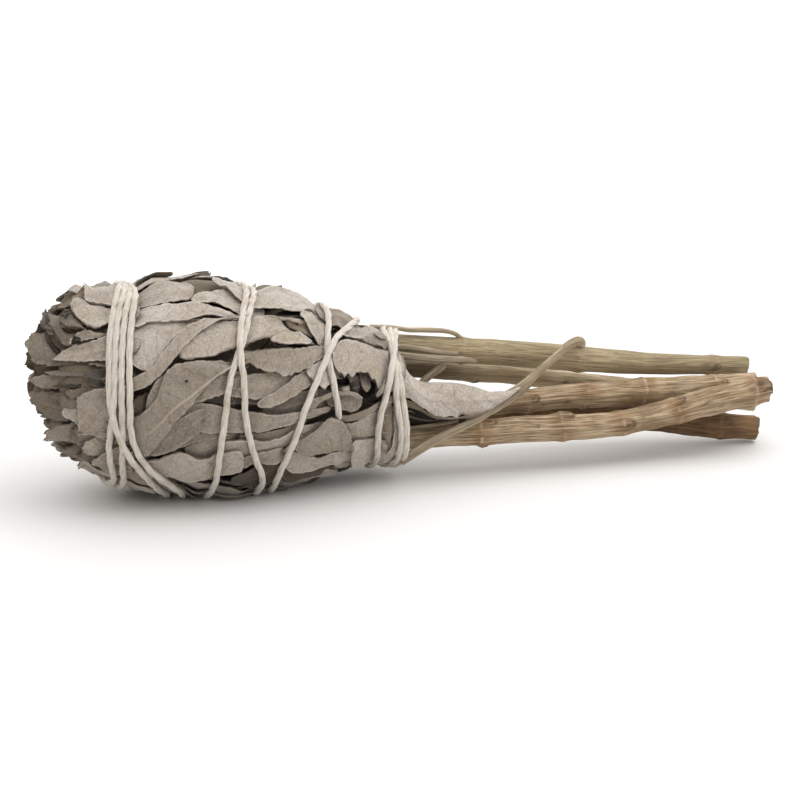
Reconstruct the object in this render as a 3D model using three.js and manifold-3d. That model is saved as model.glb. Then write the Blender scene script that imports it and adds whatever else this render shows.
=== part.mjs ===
// A sage smudge stick: a torch-shaped head of dried sage leaves, bound with one
// cotton string, on five cut woody stems. It lies on its side on a floor at z = 0.
// Millimetres, +Z up, leafy tip towards -X and cut stem ends towards +X.
import * as THREE from "three";
import { mergeVertices } from "three/addons/utils/BufferGeometryUtils.js";
import Module from "manifold-3d";

const wasm = await Module();
wasm.setup();

// The head's axis runs from the leafy tip to the neck and dips on the way.
const TIP_X = -75.7;
const BELLY_HEIGHT = 21;
const DIP_DEG = 7.6;
const BELLY_AT = 34;
const NECK_AT = 76;
const TIP_RADIUS = 10.5;
const BELLY_RADIUS = 21.4;
const NECK_RADIUS = 13.2;
const TIP_POWER = 2.3;
const NECK_POWER = 1.25;
const SHIFT_Y = 0.25;

// Leaves: true blades are about half a millimetre thick, these are stouter. Where a
// blade lies on the packed middle of the head, its underside sinks well into it.
const BLADE_THICK = 0.9;
const BLADE_ROOT = 3.4;
const FREE_MARGIN = 1;
const SHOWN_STATIONS = [0, 0.25, 0.55, 0.82, 1];
const ROW_STATIONS = [0, 0.35, 0.78, 1];
const TIP_STATIONS = [0, 0.6, 1];
const BASE_SINK = 1.9;
const TIP_RISE = 0.3;
const CROWN = 0.35;
const TALLEST_LIFT = 0.35;
const CORE_SINK = 2.6;
const CORE_SIDES = 16;
const CORE_STATIONS = [11, 16, 24, 34, 44, 54, 64, 71, 77];

// String: a single cotton strand, wound tight from the neck to the tip and back.
const STRING_RADIUS = 0.68;
const STRING_LIFT = 1.55;
const STRING_SIDES = 5;
const STRING_STEP_DEG = 20;
const STRING_RUN_DEG = 320;
const STRING_FLOOR_GAP = 0.15;
const CLEARANCE = 0.3;

const STEM_SIDES = 8;
const JOINT_SWELL = 0.35;
const JOINT_REACH = 1.8;
const JOINT_CREST = 0.6;
const SHAFT_STEPS = 9;
const LEAST_STEP = 0.02;

const GREY_LEAF = { color: 0xa39a8f, roughness: 0.9, metalness: 0 };
const CREAM_COTTON = { color: 0xe4dccd, roughness: 0.95, metalness: 0 };
const OLIVE_WOOD = { color: 0x9c9178, roughness: 0.75, metalness: 0 };
const TAN_WOOD = { color: 0xa38b6d, roughness: 0.8, metalness: 0 };
const BROWN_WOOD = { color: 0x7f674c, roughness: 0.8, metalness: 0 };

const MERGE_WITHIN = 1e-4;
const radians = THREE.MathUtils.degToRad;
const degrees = THREE.MathUtils.radToDeg;
const lerp = THREE.MathUtils.lerp;

// Half-width of a blade from base to tip, as a share of its widest half-width.
const SHAPES = {
  pointed: [0.4, 0.82, 1, 0.76, 0.08],
  blunt: [0.5, 0.88, 1, 0.97, 0.72],
  strip: [0.7, 1, 0.95, 0.85, 0.5],
};

// The leaves seen best, as laid over the head: distance from the tip and turn round
// the axis at base and tip, half-width, lift and shape. Turn 0 faces the front, 90 is
// the top and -90 the underside.
const SHOWN_LEAVES = [
  [26, 68, 5.5, 71, 5.2, -0.8, "blunt"],
  [27, 34, 3.2, 27, 3.9, -0.2, "pointed"],
  [28, -2, 8, -12, 6, -0.2, "blunt"],
  [27, 14, 1.5, 12, 3, -1.7, "pointed"],
  [25, 47, -0.5, 52, 3.6, -1.2, "blunt"],
  [27, -31, 5, -41, 4.5, -1.1, "blunt"],
  [46, 80, 15, 76, 5, -0.5, "blunt"],
  [41, 54, 14, 55, 3.2, 0.4, "pointed"],
  [46, 68, 27, 62, 4, -0.8, "pointed"],
  [33, 51, 17, 24, 4.5, -0.6, "blunt"],
  [39, 55, 15, 7, 1.9, 0.4, "strip"],
  [42, 44, 22, 22, 4.5, -0.9, "pointed"],
  [50, 46, 26, 24, 2, -0.3, "strip"],
  [39, 29, 20, -34, 4.6, 0.4, "pointed"],
  [36, -4, 19, -33, 4, -0.5, "pointed"],
  [54, -1, 25, -5, 3.6, -0.6, "pointed"],
  [50, 21, 27, 9, 3.4, -0.8, "pointed"],
  [58, 39, 38, 31, 4.3, -0.1, "blunt"],
  [76, 37, 55, 36, 5, -0.1, "blunt"],
  [66, 8, 56, 6, 1.7, -0.8, "blunt"],
  [50, -19, 65, -21, 5, 0.4, "blunt"],
  [70, -45, 45, -34, 3.6, -0.5, "pointed"],
  [77, -22, 58, -24, 3.6, -1.1, "pointed"],
  [77, 8, 64, -10, 2, -0.6, "strip"],
  [74, 6, 57, -9, 1.1, -0.2, "strip"],
  [72, 97, 44, 76, 3.4, -0.3, "strip"],
  [77, 62, 57, 56, 2.4, -0.5, "strip"],
  [62, 44, 48, 67, 3, -0.3, "blunt"],
  [42, -32, 20, -36, 5.2, -0.1, "blunt"],
  [60, -42, 33, -27, 4, -0.8, "pointed"],
  [58, -14, 33, -17, 3.6, -0.8, "pointed"],
  [62, 19, 44, 5, 3.2, -0.6, "pointed"],
  [63, 29, 40, 8, 3.2, -0.9, "pointed"],
  [60, -91, 27, -89, 7, 0.35, "blunt"],
];

// Spreads of the rule's draws: share of a step, millimetres, degrees or share of size.
const ROW_SPREAD = { step: 0.35, base: 3, length: 0.3, turn: 26, half: 0.3, lift: 0.9, bow: 8 };
const TIP_SPREAD = { step: 0.6, end: 5.5, turn: 14, half: 0.5, lift: 1.8 };
const POINTED_SHARE = 0.6;
const FIRST_TIP_INDEX = 200;
const TIP_BASE_AT = 20;
const TIP_DROP = 0.5;

// Rows of leaves worked out by a rule: where their bases sit, how many go round, the
// arc that they cover, and the mean length, half-width and lift of a leaf.
const LEAF_ROWS = [
  { at: 76, count: 8, from: 0, to: 360, length: 26, half: 4.4, lift: -1.3 },
  { at: 64, count: 9, from: 15, to: 375, length: 30, half: 5.4, lift: -1.5 },
  { at: 50, count: 10, from: 0, to: 360, length: 30, half: 5.8, lift: -1.6 },
  { at: 36, count: 10, from: 10, to: 370, length: 30, half: 5.4, lift: -1.6 },
  { at: 76, count: 5, from: 100, to: 300, length: 27, half: 3.8, lift: 0.1 },
  { at: 62, count: 5, from: 110, to: 300, length: 31, half: 4.4, lift: 0.2 },
  { at: 47, count: 5, from: 98, to: 296, length: 32, half: 4.6, lift: 0 },
  { at: 33, count: 6, from: 104, to: 300, length: 29, half: 4.2, lift: 0 },
];

// Rings of leaf tips inside the blunt end: share of the head's radius, number of
// leaves, where their tips end and their half-width.
const TIP_RINGS = [
  { share: 0.86, count: 13, tipAt: 4.5, half: 3.2 },
  { share: 0.64, count: 9, tipAt: 2, half: 3.2 },
  { share: 0.4, count: 6, tipAt: 0.8, half: 2.8 },
  { share: 0.14, count: 2, tipAt: 1.4, half: 2.4 },
];

// The string's route: turned angle and distance from the tip. Angle 0 is the top of
// the head, 90 the front, 180 the underside and 270 the back, and it keeps growing.
const STRING_ROUTE = [
  [-80, 73], [-35, 74], [4, 73.8], [45, 73], [90, 74.1], [142, 76.2], [180, 76],
  [270, 74], [330, 72.6], [405, 71.6], [450, 72.5], [503, 74.4], [540, 73.9],
  [630, 71], [675, 68.4], [733, 64.7], [756.5, 59.3], [776.5, 55.7], [793, 53.3],
  [809, 51.9], [828, 50.7], [849, 50.4], [900, 50.6], [945, 49], [990, 45.6],
  [1050, 44], [1091, 43.3], [1110, 41.3], [1128, 38.7], [1150, 36.3], [1186, 35.8],
  [1217, 36.6], [1260, 37], [1305, 34.4], [1350, 29], [1395, 23], [1448, 18.4],
  [1473, 16.3], [1497, 14.9], [1515, 14.75], [1534, 15.2], [1551, 16.2], [1562, 18.4],
  [1572, 21.4], [1583, 25], [1600, 29.5], [1620, 31], [1665, 28.4], [1710, 23.6],
  [1755, 18.8], [1801, 16.9], [1831, 14.4], [1855, 13.4], [1876, 13.3], [1895, 13.7],
  [1912, 14.6], [1931, 16], [1949, 17.4], [1980, 18.3], [2070, 17.9], [2168, 19.9],
  [2193, 17.8], [2217, 16.5], [2236, 16.2], [2254, 16.6], [2271, 17.5], [2289, 18.8],
  [2304, 19.8], [2340, 20.4], [2430, 20.8], [2525, 21.4], [2554, 19.2], [2576, 18],
  [2595, 17.65], [2613, 18.1], [2632, 19.6], [2649, 23.3], [2658, 28.2], [2668, 32.6],
  [2700, 35], [2745, 38.4], [2790, 41.5], [2890, 42], [2910, 39.6], [2938, 38],
  [2956, 38.4], [2971, 39.6], [2991, 41.4], [3024, 45.2], [3060, 47.4], [3105, 50.6],
  [3150, 55.6], [3195, 58.6], [3234, 59.5], [3264, 57.7], [3285, 56.5], [3299, 56.6],
  [3317, 58.1], [3331, 59.3], [3370, 63.6], [3420, 66.4], [3510, 68.4], [3610, 70.3],
  [3650, 70.4], [3692, 69.1], [3749, 70.6], [3780, 71.2], [3860, 72.9],
];

// Where the string runs over an earlier turn: angle, reach to each side and rise.
const STRING_CROSSINGS = [
  [1556, 26, 1.3], [2941, 34, 1.3], [3285, 30, 1.3], [2729, 34, 1.3], [3093, 34, 1.3],
  [3540, 40, 1.3],
];
const KNOT_AT = 72.6;
const KNOT_TURN_DEG = 176;
const KNOT_LIFT = 1.6;
const KNOT_HALF = [1.7, 1.1, 1.5];

// Stems, each from inside the head to its cut end: centre line, radius along it, and
// the joints where leaves once grew, by their distance along X.
const STEMS = [
  {
    name: "stem_1", finish: OLIVE_WOOD, joints: [14, 39.5, 69.3],
    line: [[-36, -1, 29], [-18, 0.6, 27.6], [0.6, 2, 24.8], [14, 3, 23.3], [26.4, 3.6, 21.3],
      [38.5, 4.2, 19.4], [55.2, 4.8, 16.9], [69.3, 5.2, 15.4], [77.3, 5.5, 14.6]],
    radii: [2.6, 2.8, 2.8, 2.9, 3, 2.95, 2.7, 2.45, 2.35],
  },
  {
    name: "stem_2", finish: OLIVE_WOOD, joints: [18, 58],
    line: [[-34, 8.5, 22], [-16, 7.6, 21.3], [3, 7.2, 19], [18, 8, 17.4], [36.5, 8.8, 14.6],
      [50, 8.9, 11.9], [63, 8.6, 8.6], [75.6, 8.3, 5.3]],
    radii: [2.3, 2.4, 2.5, 2.55, 2.45, 2.4, 2.35, 2.3],
  },
  {
    name: "stem_3", finish: TAN_WOOD, joints: [26.5, 51, 67],
    line: [[-36, -5, 20], [-18, -4, 18.6], [-1, -3.2, 16.6], [13, -2.5, 15.2], [26.1, -2, 14],
      [42, -1.6, 13.2], [55.1, -1.3, 13], [66.8, -1.1, 13.5], [76.6, -1, 13.8]],
    radii: [2.5, 2.6, 2.6, 2.7, 2.75, 2.75, 2.75, 2.65, 2.55],
  },
  {
    name: "stem_4", finish: TAN_WOOD, joints: [14.6, 31.2, 44.6, 56.4],
    line: [[-36, -6, 13.6], [-18, -5.6, 11.8], [0.3, -6, 9.9], [14.6, -7.2, 9.2],
      [31.2, -7.8, 9], [44.6, -7.6, 8.9], [55.9, -7.3, 10.7], [68, -7, 12.7], [77.6, -7, 13.5]],
    radii: [2.5, 2.6, 2.7, 2.85, 2.95, 2.7, 2.8, 2.85, 2.65],
  },
  {
    name: "stem_5", finish: BROWN_WOOD, joints: [28, 69.1],
    line: [[-34, 4.5, 12.2], [-16, 4.6, 9.6], [2, 4.2, 7.2], [28, 2.8, 5.9], [52, 1.5, 4.9],
      [66, 0.8, 3.9], [77.4, 0.2, 2.55]],
    radii: [2.3, 2.4, 2.5, 2.6, 2.6, 2.6, 2.55],
  },
];

// Buds and leaf scars on the joints: stem, distance along X, turn round the stem from
// the front (90 is up) and radius.
const BUDS = [
  ["stem_1", 69, 8, 0.9], ["stem_1", 40, -160, 1], ["stem_3", 26.3, -20, 1.1],
  ["stem_4", 31.6, 84, 1.3], ["stem_4", 44.9, 4, 1.2], ["stem_4", 57, 60, 0.9],
  ["stem_5", 69.4, 40, 1.1], ["stem_2", 18.3, -30, 0.9],
];
const BUD_STRETCH = 1.5;

// Leaf stalks that stay on the stems as thin straps: stem, points, half the upright
// size at even steps, and half the depth from front to back.
const STALKS = [
  {
    stem: "stem_1", tall: [0.4, 0.5, 0.5, 0.6], deep: 1.2,
    line: [[2, 0.4, 29], [6.5, 1.2, 28], [11, 2.2, 26.7], [14.5, 2.9, 25.4]],
  },
  {
    stem: "stem_1", tall: [0.8, 0.9, 0.9, 0.8], deep: 0.45,
    line: [[2, -1.6, 25.5], [6, -1.1, 24.3], [10.5, -0.5, 22.9], [14.2, 0.6, 22]],
  },
  {
    stem: "stem_2", tall: [0.9, 1, 0.9, 0.8], deep: 0.5,
    line: [[2.2, 1.4, 21.2], [8, 3.5, 20.2], [13.5, 5.1, 19.5], [18, 6.6, 19]],
  },
  {
    stem: "stem_2", tall: [0.6, 0.65, 0.7], deep: 0.5,
    line: [[4.6, 2.2, 15], [8, 3.6, 16.9], [11.4, 5.6, 18.6]],
  },
  {
    stem: "stem_3", tall: [0.9, 1, 1, 1, 0.9, 0.8], deep: 0.5,
    line: [[2.8, -11.4, 5.2], [8, -12, 7], [14, -12.2, 9.3], [19, -11.2, 11.8],
      [23, -8, 13.4], [26.4, -4.2, 14]],
  },
];

// The leaf that escaped the neck wrap: stations of its middle line, the direction and
// size of its half-width, then its stalk, which hooks over the top of stem 1.
const NECK_LEAF_BLADE = [
  [[-3, -10.5, 14.6], [0, 0, 2.2], 0.3],
  [[2.6, -11.4, 13.8], [0, 0, 3.3], 0.35],
  [[6.5, -11.9, 13.4], [0.2, -0.7, 3.9], 0.4],
  [[11.5, -11.6, 12.9], [0.5, -0.8, 3.7], 0.4],
  [[16.5, -11, 13.2], [0.5, -0.6, 2.3], 0.4],
  [[20.5, -10, 14.2], [0.4, -0.3, 1.2], 0.5],
];
const NECK_LEAF_STALK = [
  [20, -10.2, 14.1], [25, -8.4, 16.1], [29, -6, 18.6], [32.5, -3, 21.2], [36, 0, 22.9],
  [39.2, 3, 23.4], [41, 5, 22.9],
];
const NECK_STALK_TALL = [0.9, 0.85, 0.85, 0.9];
const NECK_STALK_DEEP = 0.75;
const STRAP_SIDES = 6;

const FLOOR_CUT = { length: 200, width: 80, height: 20 };

// Points on the head, from the distance along its axis, the turn and the radius.
const dip = radians(DIP_DEG);
const tip = new THREE.Vector3(TIP_X, SHIFT_Y, BELLY_HEIGHT + BELLY_AT * Math.sin(dip));
const along = new THREE.Vector3(Math.cos(dip), 0, -Math.sin(dip));
const front = new THREE.Vector3(0, -1, 0);
const upward = new THREE.Vector3(Math.sin(dip), 0, Math.cos(dip));

function headRadius(at) {
  const place = THREE.MathUtils.clamp(at, 0, NECK_AT);
  if (place < BELLY_AT) {
    const share = Math.pow((BELLY_AT - place) / BELLY_AT, TIP_POWER);
    return BELLY_RADIUS - share * (BELLY_RADIUS - TIP_RADIUS);
  }
  const share = Math.pow((place - BELLY_AT) / (NECK_AT - BELLY_AT), NECK_POWER);
  return BELLY_RADIUS - (BELLY_RADIUS - NECK_RADIUS) * (1 - Math.cos(Math.PI * share)) / 2;
}

function outward(turn) {
  const angle = radians(turn);
  const across = front.clone().multiplyScalar(Math.cos(angle));
  return across.addScaledVector(upward, Math.sin(angle));
}

function headPoint(at, turn, radius) {
  return tip.clone().addScaledVector(along, at).addScaledVector(outward(turn), radius);
}

// A repeatable draw between 0 and 1 for leaf number `index` and trait `trait`.
function draw(index, trait) {
  const wave = Math.sin(index * 127.1 + trait * 311.7) * 43758.5453;
  return wave - Math.floor(wave);
}

// A value at share u of a list whose entries are evenly spaced.
function sample(values, u) {
  const place = u * (values.length - 1);
  const i = Math.min(Math.floor(place), values.length - 2);
  return lerp(values[i], values[i + 1], place - i);
}

function geometryFrom(points, faces) {
  const geometry = new THREE.BufferGeometry();
  const flat = points.flatMap((point) => point.toArray());
  geometry.setAttribute("position", new THREE.Float32BufferAttribute(flat, 3));
  geometry.setIndex(faces.flat());
  return geometry;
}

function toSolid(geometry) {
  const bare = geometry.clone();
  bare.deleteAttribute("normal");
  bare.deleteAttribute("uv");
  const merged = mergeVertices(bare, MERGE_WITHIN);
  const vertProperties = new Float32Array(merged.attributes.position.array);
  const triVerts = new Uint32Array(merged.index.array);
  return new wasm.Manifold(new wasm.Mesh({ numProp: 3, vertProperties, triVerts }));
}

function toGeometry(solid) {
  const mesh = solid.getMesh();
  const geometry = new THREE.BufferGeometry();
  geometry.setAttribute("position", new THREE.BufferAttribute(mesh.vertProperties, 3));
  geometry.setIndex(new THREE.BufferAttribute(mesh.triVerts, 1));
  return geometry;
}

function joined(solids) {
  return solids.reduce((whole, solid) => whole.add(solid));
}

// Only the largest closed skin is kept, which drops scraps and fills sealed hollows.
function largestBody(solid) {
  const bodies = solid.decompose();
  return bodies.reduce((best, body) => (body.volume() > best.volume() ? body : best));
}

// A closed blade from stations of three upper and three lower points.
function bladeGeometry(stations) {
  const points = stations.flatMap((station) => [...station.upper, ...station.lower]);
  const faces = [];
  const quad = (a, b, c, d) => faces.push([a, b, c], [a, c, d]);
  for (let i = 0; i < stations.length - 1; i += 1) {
    const here = i * 6;
    const next = here + 6;
    for (const side of [0, 1]) {
      const near = here + side;
      const far = next + side;
      quad(near, near + 1, far + 1, far);
      faces.push([near + 3, far + 4, near + 4], [near + 3, far + 3, far + 4]);
    }
    quad(here + 3, here, next, next + 3);
    quad(here + 2, here + 5, next + 5, next + 2);
  }
  const last = (stations.length - 1) * 6;
  quad(1, 0, 3, 4);
  quad(2, 1, 4, 5);
  quad(last, last + 1, last + 4, last + 3);
  quad(last + 1, last + 2, last + 5, last + 4);
  return geometryFrom(points, faces);
}

// A closed tube through rings with equal numbers of points.
function tubeGeometry(rings) {
  const sides = rings[0].length;
  const faces = [];
  for (let i = 0; i < rings.length - 1; i += 1) {
    for (let j = 0; j < sides; j += 1) {
      const a = i * sides + j;
      const b = i * sides + ((j + 1) % sides);
      faces.push([a, b, b + sides], [a, b + sides, a + sides]);
    }
  }
  const last = (rings.length - 1) * sides;
  for (let j = 1; j < sides - 1; j += 1) {
    faces.push([0, j + 1, j], [last, last + j, last + j + 1]);
  }
  return geometryFrom(rings.flat(), faces);
}

function ring(centre, sideways, upwards, halfWide, halfTall, sides) {
  return Array.from({ length: sides }, (_, j) => {
    const angle = (2 * Math.PI * j) / sides;
    const point = centre.clone().addScaledVector(sideways, halfWide * Math.cos(angle));
    return point.addScaledVector(upwards, halfTall * Math.sin(angle));
  });
}

// One leaf laid on the head. `share` draws it in from the head's surface.
function leafBlade(leaf) {
  const span = leaf.tipAt - leaf.baseAt;
  const middleRadius = headRadius((leaf.baseAt + leaf.tipAt) / 2) * leaf.share;
  const sweep = radians(leaf.tipTurn - leaf.baseTurn) * middleRadius;
  const length = Math.hypot(span, sweep);
  const stations = leaf.stations.map((u) => {
    const at = lerp(leaf.baseAt, leaf.tipAt, u);
    const turn = lerp(leaf.baseTurn, leaf.tipTurn, u) + leaf.bow * Math.sin(Math.PI * u);
    const half = leaf.half * sample(SHAPES[leaf.shape], u);
    const lift = Math.min(leaf.lift, TALLEST_LIFT) - BASE_SINK * (1 - u) ** 3 + TIP_RISE * u ** 3;
    const row = (depth) => [1, 0, -1].map((v) => {
      const edgeAt = at - (sweep / length) * v * half;
      const arc = (span / length) * v * half;
      const around = headRadius(at) * leaf.share;
      const crown = CROWN * (1 - v * v);
      const radius = headRadius(edgeAt) * leaf.share + lift + crown - depth;
      return headPoint(edgeAt, turn + degrees(arc / around), radius);
    });
    const free = at < CORE_STATIONS[0] + FREE_MARGIN;
    return { upper: row(0), lower: row(free ? BLADE_THICK : BLADE_ROOT) };
  });
  return bladeGeometry(stations);
}

function shownLeaves() {
  return SHOWN_LEAVES.map(([baseAt, baseTurn, tipAt, tipTurn, half, lift, shape]) => (
    {
      baseAt, baseTurn, tipAt, tipTurn, half, lift, shape, bow: 0, share: 1,
      stations: SHOWN_STATIONS,
    }
  ));
}

function rowLeaves() {
  const leaves = [];
  for (const row of LEAF_ROWS) {
    for (let i = 0; i < row.count; i += 1) {
      const vary = (trait, spread) => spread * (draw(leaves.length, trait) - 0.5);
      const step = (row.to - row.from) / row.count;
      const baseTurn = row.from + step * (i + 0.5 + vary(1, ROW_SPREAD.step));
      leaves.push({
        baseAt: row.at + vary(2, ROW_SPREAD.base),
        baseTurn,
        tipAt: row.at - row.length * (1 + vary(3, ROW_SPREAD.length)),
        tipTurn: baseTurn + vary(4, ROW_SPREAD.turn),
        half: row.half * (1 + vary(5, ROW_SPREAD.half)),
        lift: row.lift + vary(6, ROW_SPREAD.lift),
        bow: vary(7, ROW_SPREAD.bow),
        shape: draw(leaves.length, 8) < POINTED_SHARE ? "pointed" : "blunt",
        share: 1,
        stations: ROW_STATIONS,
      });
    }
  }
  return leaves;
}

function tipLeaves() {
  const leaves = [];
  for (const ringOfTips of TIP_RINGS) {
    for (let i = 0; i < ringOfTips.count; i += 1) {
      const index = FIRST_TIP_INDEX + leaves.length;
      const vary = (trait, spread) => spread * (draw(index, trait) - 0.5);
      const turn = (360 * (i + vary(1, TIP_SPREAD.step))) / ringOfTips.count;
      leaves.push({
        baseAt: TIP_BASE_AT,
        baseTurn: turn,
        tipAt: ringOfTips.tipAt + vary(2, TIP_SPREAD.end),
        tipTurn: turn + vary(3, TIP_SPREAD.turn),
        half: ringOfTips.half * (1 + vary(4, TIP_SPREAD.half)),
        lift: vary(5, TIP_SPREAD.lift) - TIP_DROP,
        bow: 0,
        shape: draw(index, 6) > POINTED_SHARE ? "pointed" : "blunt",
        share: ringOfTips.share,
        stations: TIP_STATIONS,
      });
    }
  }
  return leaves;
}

// The packed middle of the bundle, which the leaves stand out of.
function headCore() {
  const profile = [new THREE.Vector2(0, CORE_STATIONS[0])];
  for (const at of CORE_STATIONS) {
    profile.push(new THREE.Vector2(headRadius(at) - CORE_SINK, at));
  }
  profile.push(new THREE.Vector2(0, CORE_STATIONS[CORE_STATIONS.length - 1]));
  const lathe = new THREE.LatheGeometry(profile, CORE_SIDES);
  const toward = new THREE.Vector3().crossVectors(along, upward);
  const placing = new THREE.Matrix4().makeBasis(upward, along, toward.negate());
  placing.setPosition(tip);
  lathe.applyMatrix4(placing);
  return lathe;
}

// Distance from the tip at any turned angle, smooth through the route's points.
function routeAt(angle) {
  const last = STRING_ROUTE.length - 2;
  let i = STRING_ROUTE.findIndex((point) => point[0] > angle) - 1;
  i = i < 0 ? last : Math.min(i, last);
  const slope = (k) => {
    const before = STRING_ROUTE[Math.max(k - 1, 0)];
    const after = STRING_ROUTE[Math.min(k + 1, STRING_ROUTE.length - 1)];
    return (after[1] - before[1]) / (after[0] - before[0]);
  };
  const [startAngle, startAt] = STRING_ROUTE[i];
  const [endAngle, endAt] = STRING_ROUTE[i + 1];
  const gap = endAngle - startAngle;
  const u = (angle - startAngle) / gap;
  const rise = u * u * (3 - 2 * u);
  const bend = (u * (1 - u) ** 2) * slope(i) - (u * u * (1 - u)) * slope(i + 1);
  return lerp(startAt, endAt, rise) + gap * bend;
}

function stringPoint(angle) {
  const at = routeAt(angle);
  const turn = 90 - angle;
  let lift = STRING_LIFT;
  for (const [where, reach, rise] of STRING_CROSSINGS) {
    const away = Math.min(1, Math.abs(angle - where) / reach);
    lift += rise * (1 + Math.cos(Math.PI * away)) / 2;
  }
  const point = headPoint(at, turn, headRadius(at) + lift);
  point.z = Math.max(point.z, STRING_RADIUS + STRING_FLOOR_GAP);
  return point;
}

// The string in short overlapping runs, none of which crosses itself.
function stringRuns(radius) {
  const first = STRING_ROUTE[0][0];
  const end = STRING_ROUTE[STRING_ROUTE.length - 1][0];
  const steps = Math.round((end - first) / STRING_STEP_DEG);
  const centres = [];
  for (let i = 0; i <= steps; i += 1) {
    centres.push(stringPoint(lerp(first, end, i / steps)));
  }
  const rings = centres.map((centre, i) => {
    const before = centres[Math.max(i - 1, 0)];
    const after = centres[Math.min(i + 1, steps)];
    const forward = after.clone().sub(before).normalize();
    const turn = 90 - lerp(first, end, i / steps);
    const sideways = new THREE.Vector3().crossVectors(forward, outward(turn)).normalize();
    const upwards = new THREE.Vector3().crossVectors(sideways, forward).normalize();
    return ring(centre, sideways, upwards, -radius, radius, STRING_SIDES);
  });
  const runs = [];
  const perRun = Math.round(STRING_RUN_DEG / STRING_STEP_DEG);
  for (let i = 0; i < steps; i += perRun) {
    runs.push(toSolid(tubeGeometry(rings.slice(i, i + perRun + 2))));
  }
  return runs;
}

function knot(grow) {
  const ball = new THREE.SphereGeometry(1, 8, 6);
  ball.scale(...KNOT_HALF.map((half) => half + grow));
  const centre = headPoint(KNOT_AT, KNOT_TURN_DEG, headRadius(KNOT_AT) + KNOT_LIFT);
  ball.translate(centre.x, centre.y, centre.z);
  return toSolid(ball);
}

function stringSolid(radius) {
  return joined([...stringRuns(radius), knot(radius - STRING_RADIUS)]);
}

function stemRadius(stem, curve, u) {
  const plain = sample(stem.radii, u);
  const x = curve.getPoint(u).x;
  const swell = stem.joints.reduce((sum, joint) => {
    const away = Math.min(1, Math.abs(x - joint) / JOINT_REACH);
    return sum + JOINT_SWELL * (1 + Math.cos(Math.PI * away)) / 2;
  }, 0);
  return plain + swell;
}

// The curve's share at which a stem passes a given X.
function shareAtX(curve, x) {
  let low = 0;
  let high = 1;
  for (let i = 0; i < 40; i += 1) {
    const middle = (low + high) / 2;
    if (curve.getPoint(middle).x < x) {
      low = middle;
    } else {
      high = middle;
    }
  }
  return (low + high) / 2;
}

function stemCurve(stem) {
  return new THREE.CatmullRomCurve3(stem.line.map(([x, y, z]) => (
    new THREE.Vector3(x, y + SHIFT_Y, z)
  )));
}

function stemFrame(curve, u) {
  const forward = curve.getTangent(u);
  const upwards = new THREE.Vector3(0, 0, 1).addScaledVector(forward, -forward.z).normalize();
  const sideways = new THREE.Vector3().crossVectors(upwards, forward).normalize();
  return { centre: curve.getPoint(u), sideways, upwards };
}

function stemShaft(stem, grow) {
  const curve = stemCurve(stem);
  const even = Array.from({ length: SHAFT_STEPS + 1 }, (_, i) => i / SHAFT_STEPS);
  const offsets = [-JOINT_REACH, -JOINT_CREST, JOINT_CREST, JOINT_REACH];
  const atJoints = stem.joints.flatMap((joint) => (
    offsets.map((offset) => shareAtX(curve, joint + offset))
  ));
  const clear = even.filter((u) => (
    u === 0 || u === 1 || atJoints.every((v) => Math.abs(u - v) > LEAST_STEP)
  ));
  const shares = [...clear, ...atJoints].sort((a, b) => a - b);
  const rings = shares.map((u) => {
    const { centre, sideways, upwards } = stemFrame(curve, u);
    const radius = stemRadius(stem, curve, u) + grow;
    return ring(centre, sideways, upwards, radius, radius, STEM_SIDES);
  });
  if (grow > 0) {
    rings[0].forEach((point) => point.setX(point.x - grow));
  }
  return toSolid(tubeGeometry(rings));
}

function bud(stem, [, x, turn, radius], grow) {
  const curve = stemCurve(stem);
  const u = shareAtX(curve, x);
  const { centre, sideways, upwards } = stemFrame(curve, u);
  const angle = radians(turn);
  const reach = stemRadius(stem, curve, u);
  const ball = new THREE.SphereGeometry(radius + grow, 7, 5);
  ball.scale(BUD_STRETCH, 1, 1);
  const place = centre.clone().addScaledVector(sideways, -reach * Math.cos(angle));
  place.addScaledVector(upwards, reach * Math.sin(angle));
  ball.translate(place.x, place.y, place.z);
  return toSolid(ball);
}

// A flat strap along a curve, level from side to side.
function strap(line, tall, deep, grow) {
  const curve = new THREE.CatmullRomCurve3(line.map(([x, y, z]) => (
    new THREE.Vector3(x, y + SHIFT_Y, z)
  )));
  const steps = (line.length - 1) * 2;
  const rings = Array.from({ length: steps + 1 }, (_, i) => {
    const u = i / steps;
    const { centre, sideways, upwards } = stemFrame(curve, u);
    return ring(centre, sideways, upwards, deep + grow, sample(tall, u) + grow, STRAP_SIDES);
  });
  return toSolid(tubeGeometry(rings));
}

function stemSolid(stem, grow) {
  const parts = [stemShaft(stem, grow)];
  for (const mark of BUDS.filter((row) => row[0] === stem.name)) {
    parts.push(bud(stem, mark, grow));
  }
  for (const stalk of STALKS.filter((row) => row.stem === stem.name)) {
    parts.push(strap(stalk.line, stalk.tall, stalk.deep, grow));
  }
  return joined(parts);
}

function neckLeafSolid(grow) {
  const stations = NECK_LEAF_BLADE.map(([middle, side, crown]) => {
    const centre = new THREE.Vector3(middle[0], middle[1] + SHIFT_Y, middle[2]);
    const across = new THREE.Vector3(...side);
    const row = (depth) => [1, 0, -1].map((v) => {
      const point = centre.clone().addScaledVector(across, v * (1 + grow / across.length()));
      point.y += depth - crown * (1 - v * v);
      return point;
    });
    return { upper: row(-grow), lower: row(BLADE_THICK + grow) };
  });
  const blade = toSolid(bladeGeometry(stations));
  return blade.add(strap(NECK_LEAF_STALK, NECK_STALK_TALL, NECK_STALK_DEEP, grow));
}

function floorCutter() {
  const box = new THREE.BoxGeometry(FLOOR_CUT.length, FLOOR_CUT.width, FLOOR_CUT.height);
  box.translate(0, 0, -FLOOR_CUT.height / 2);
  return toSolid(box);
}

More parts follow.
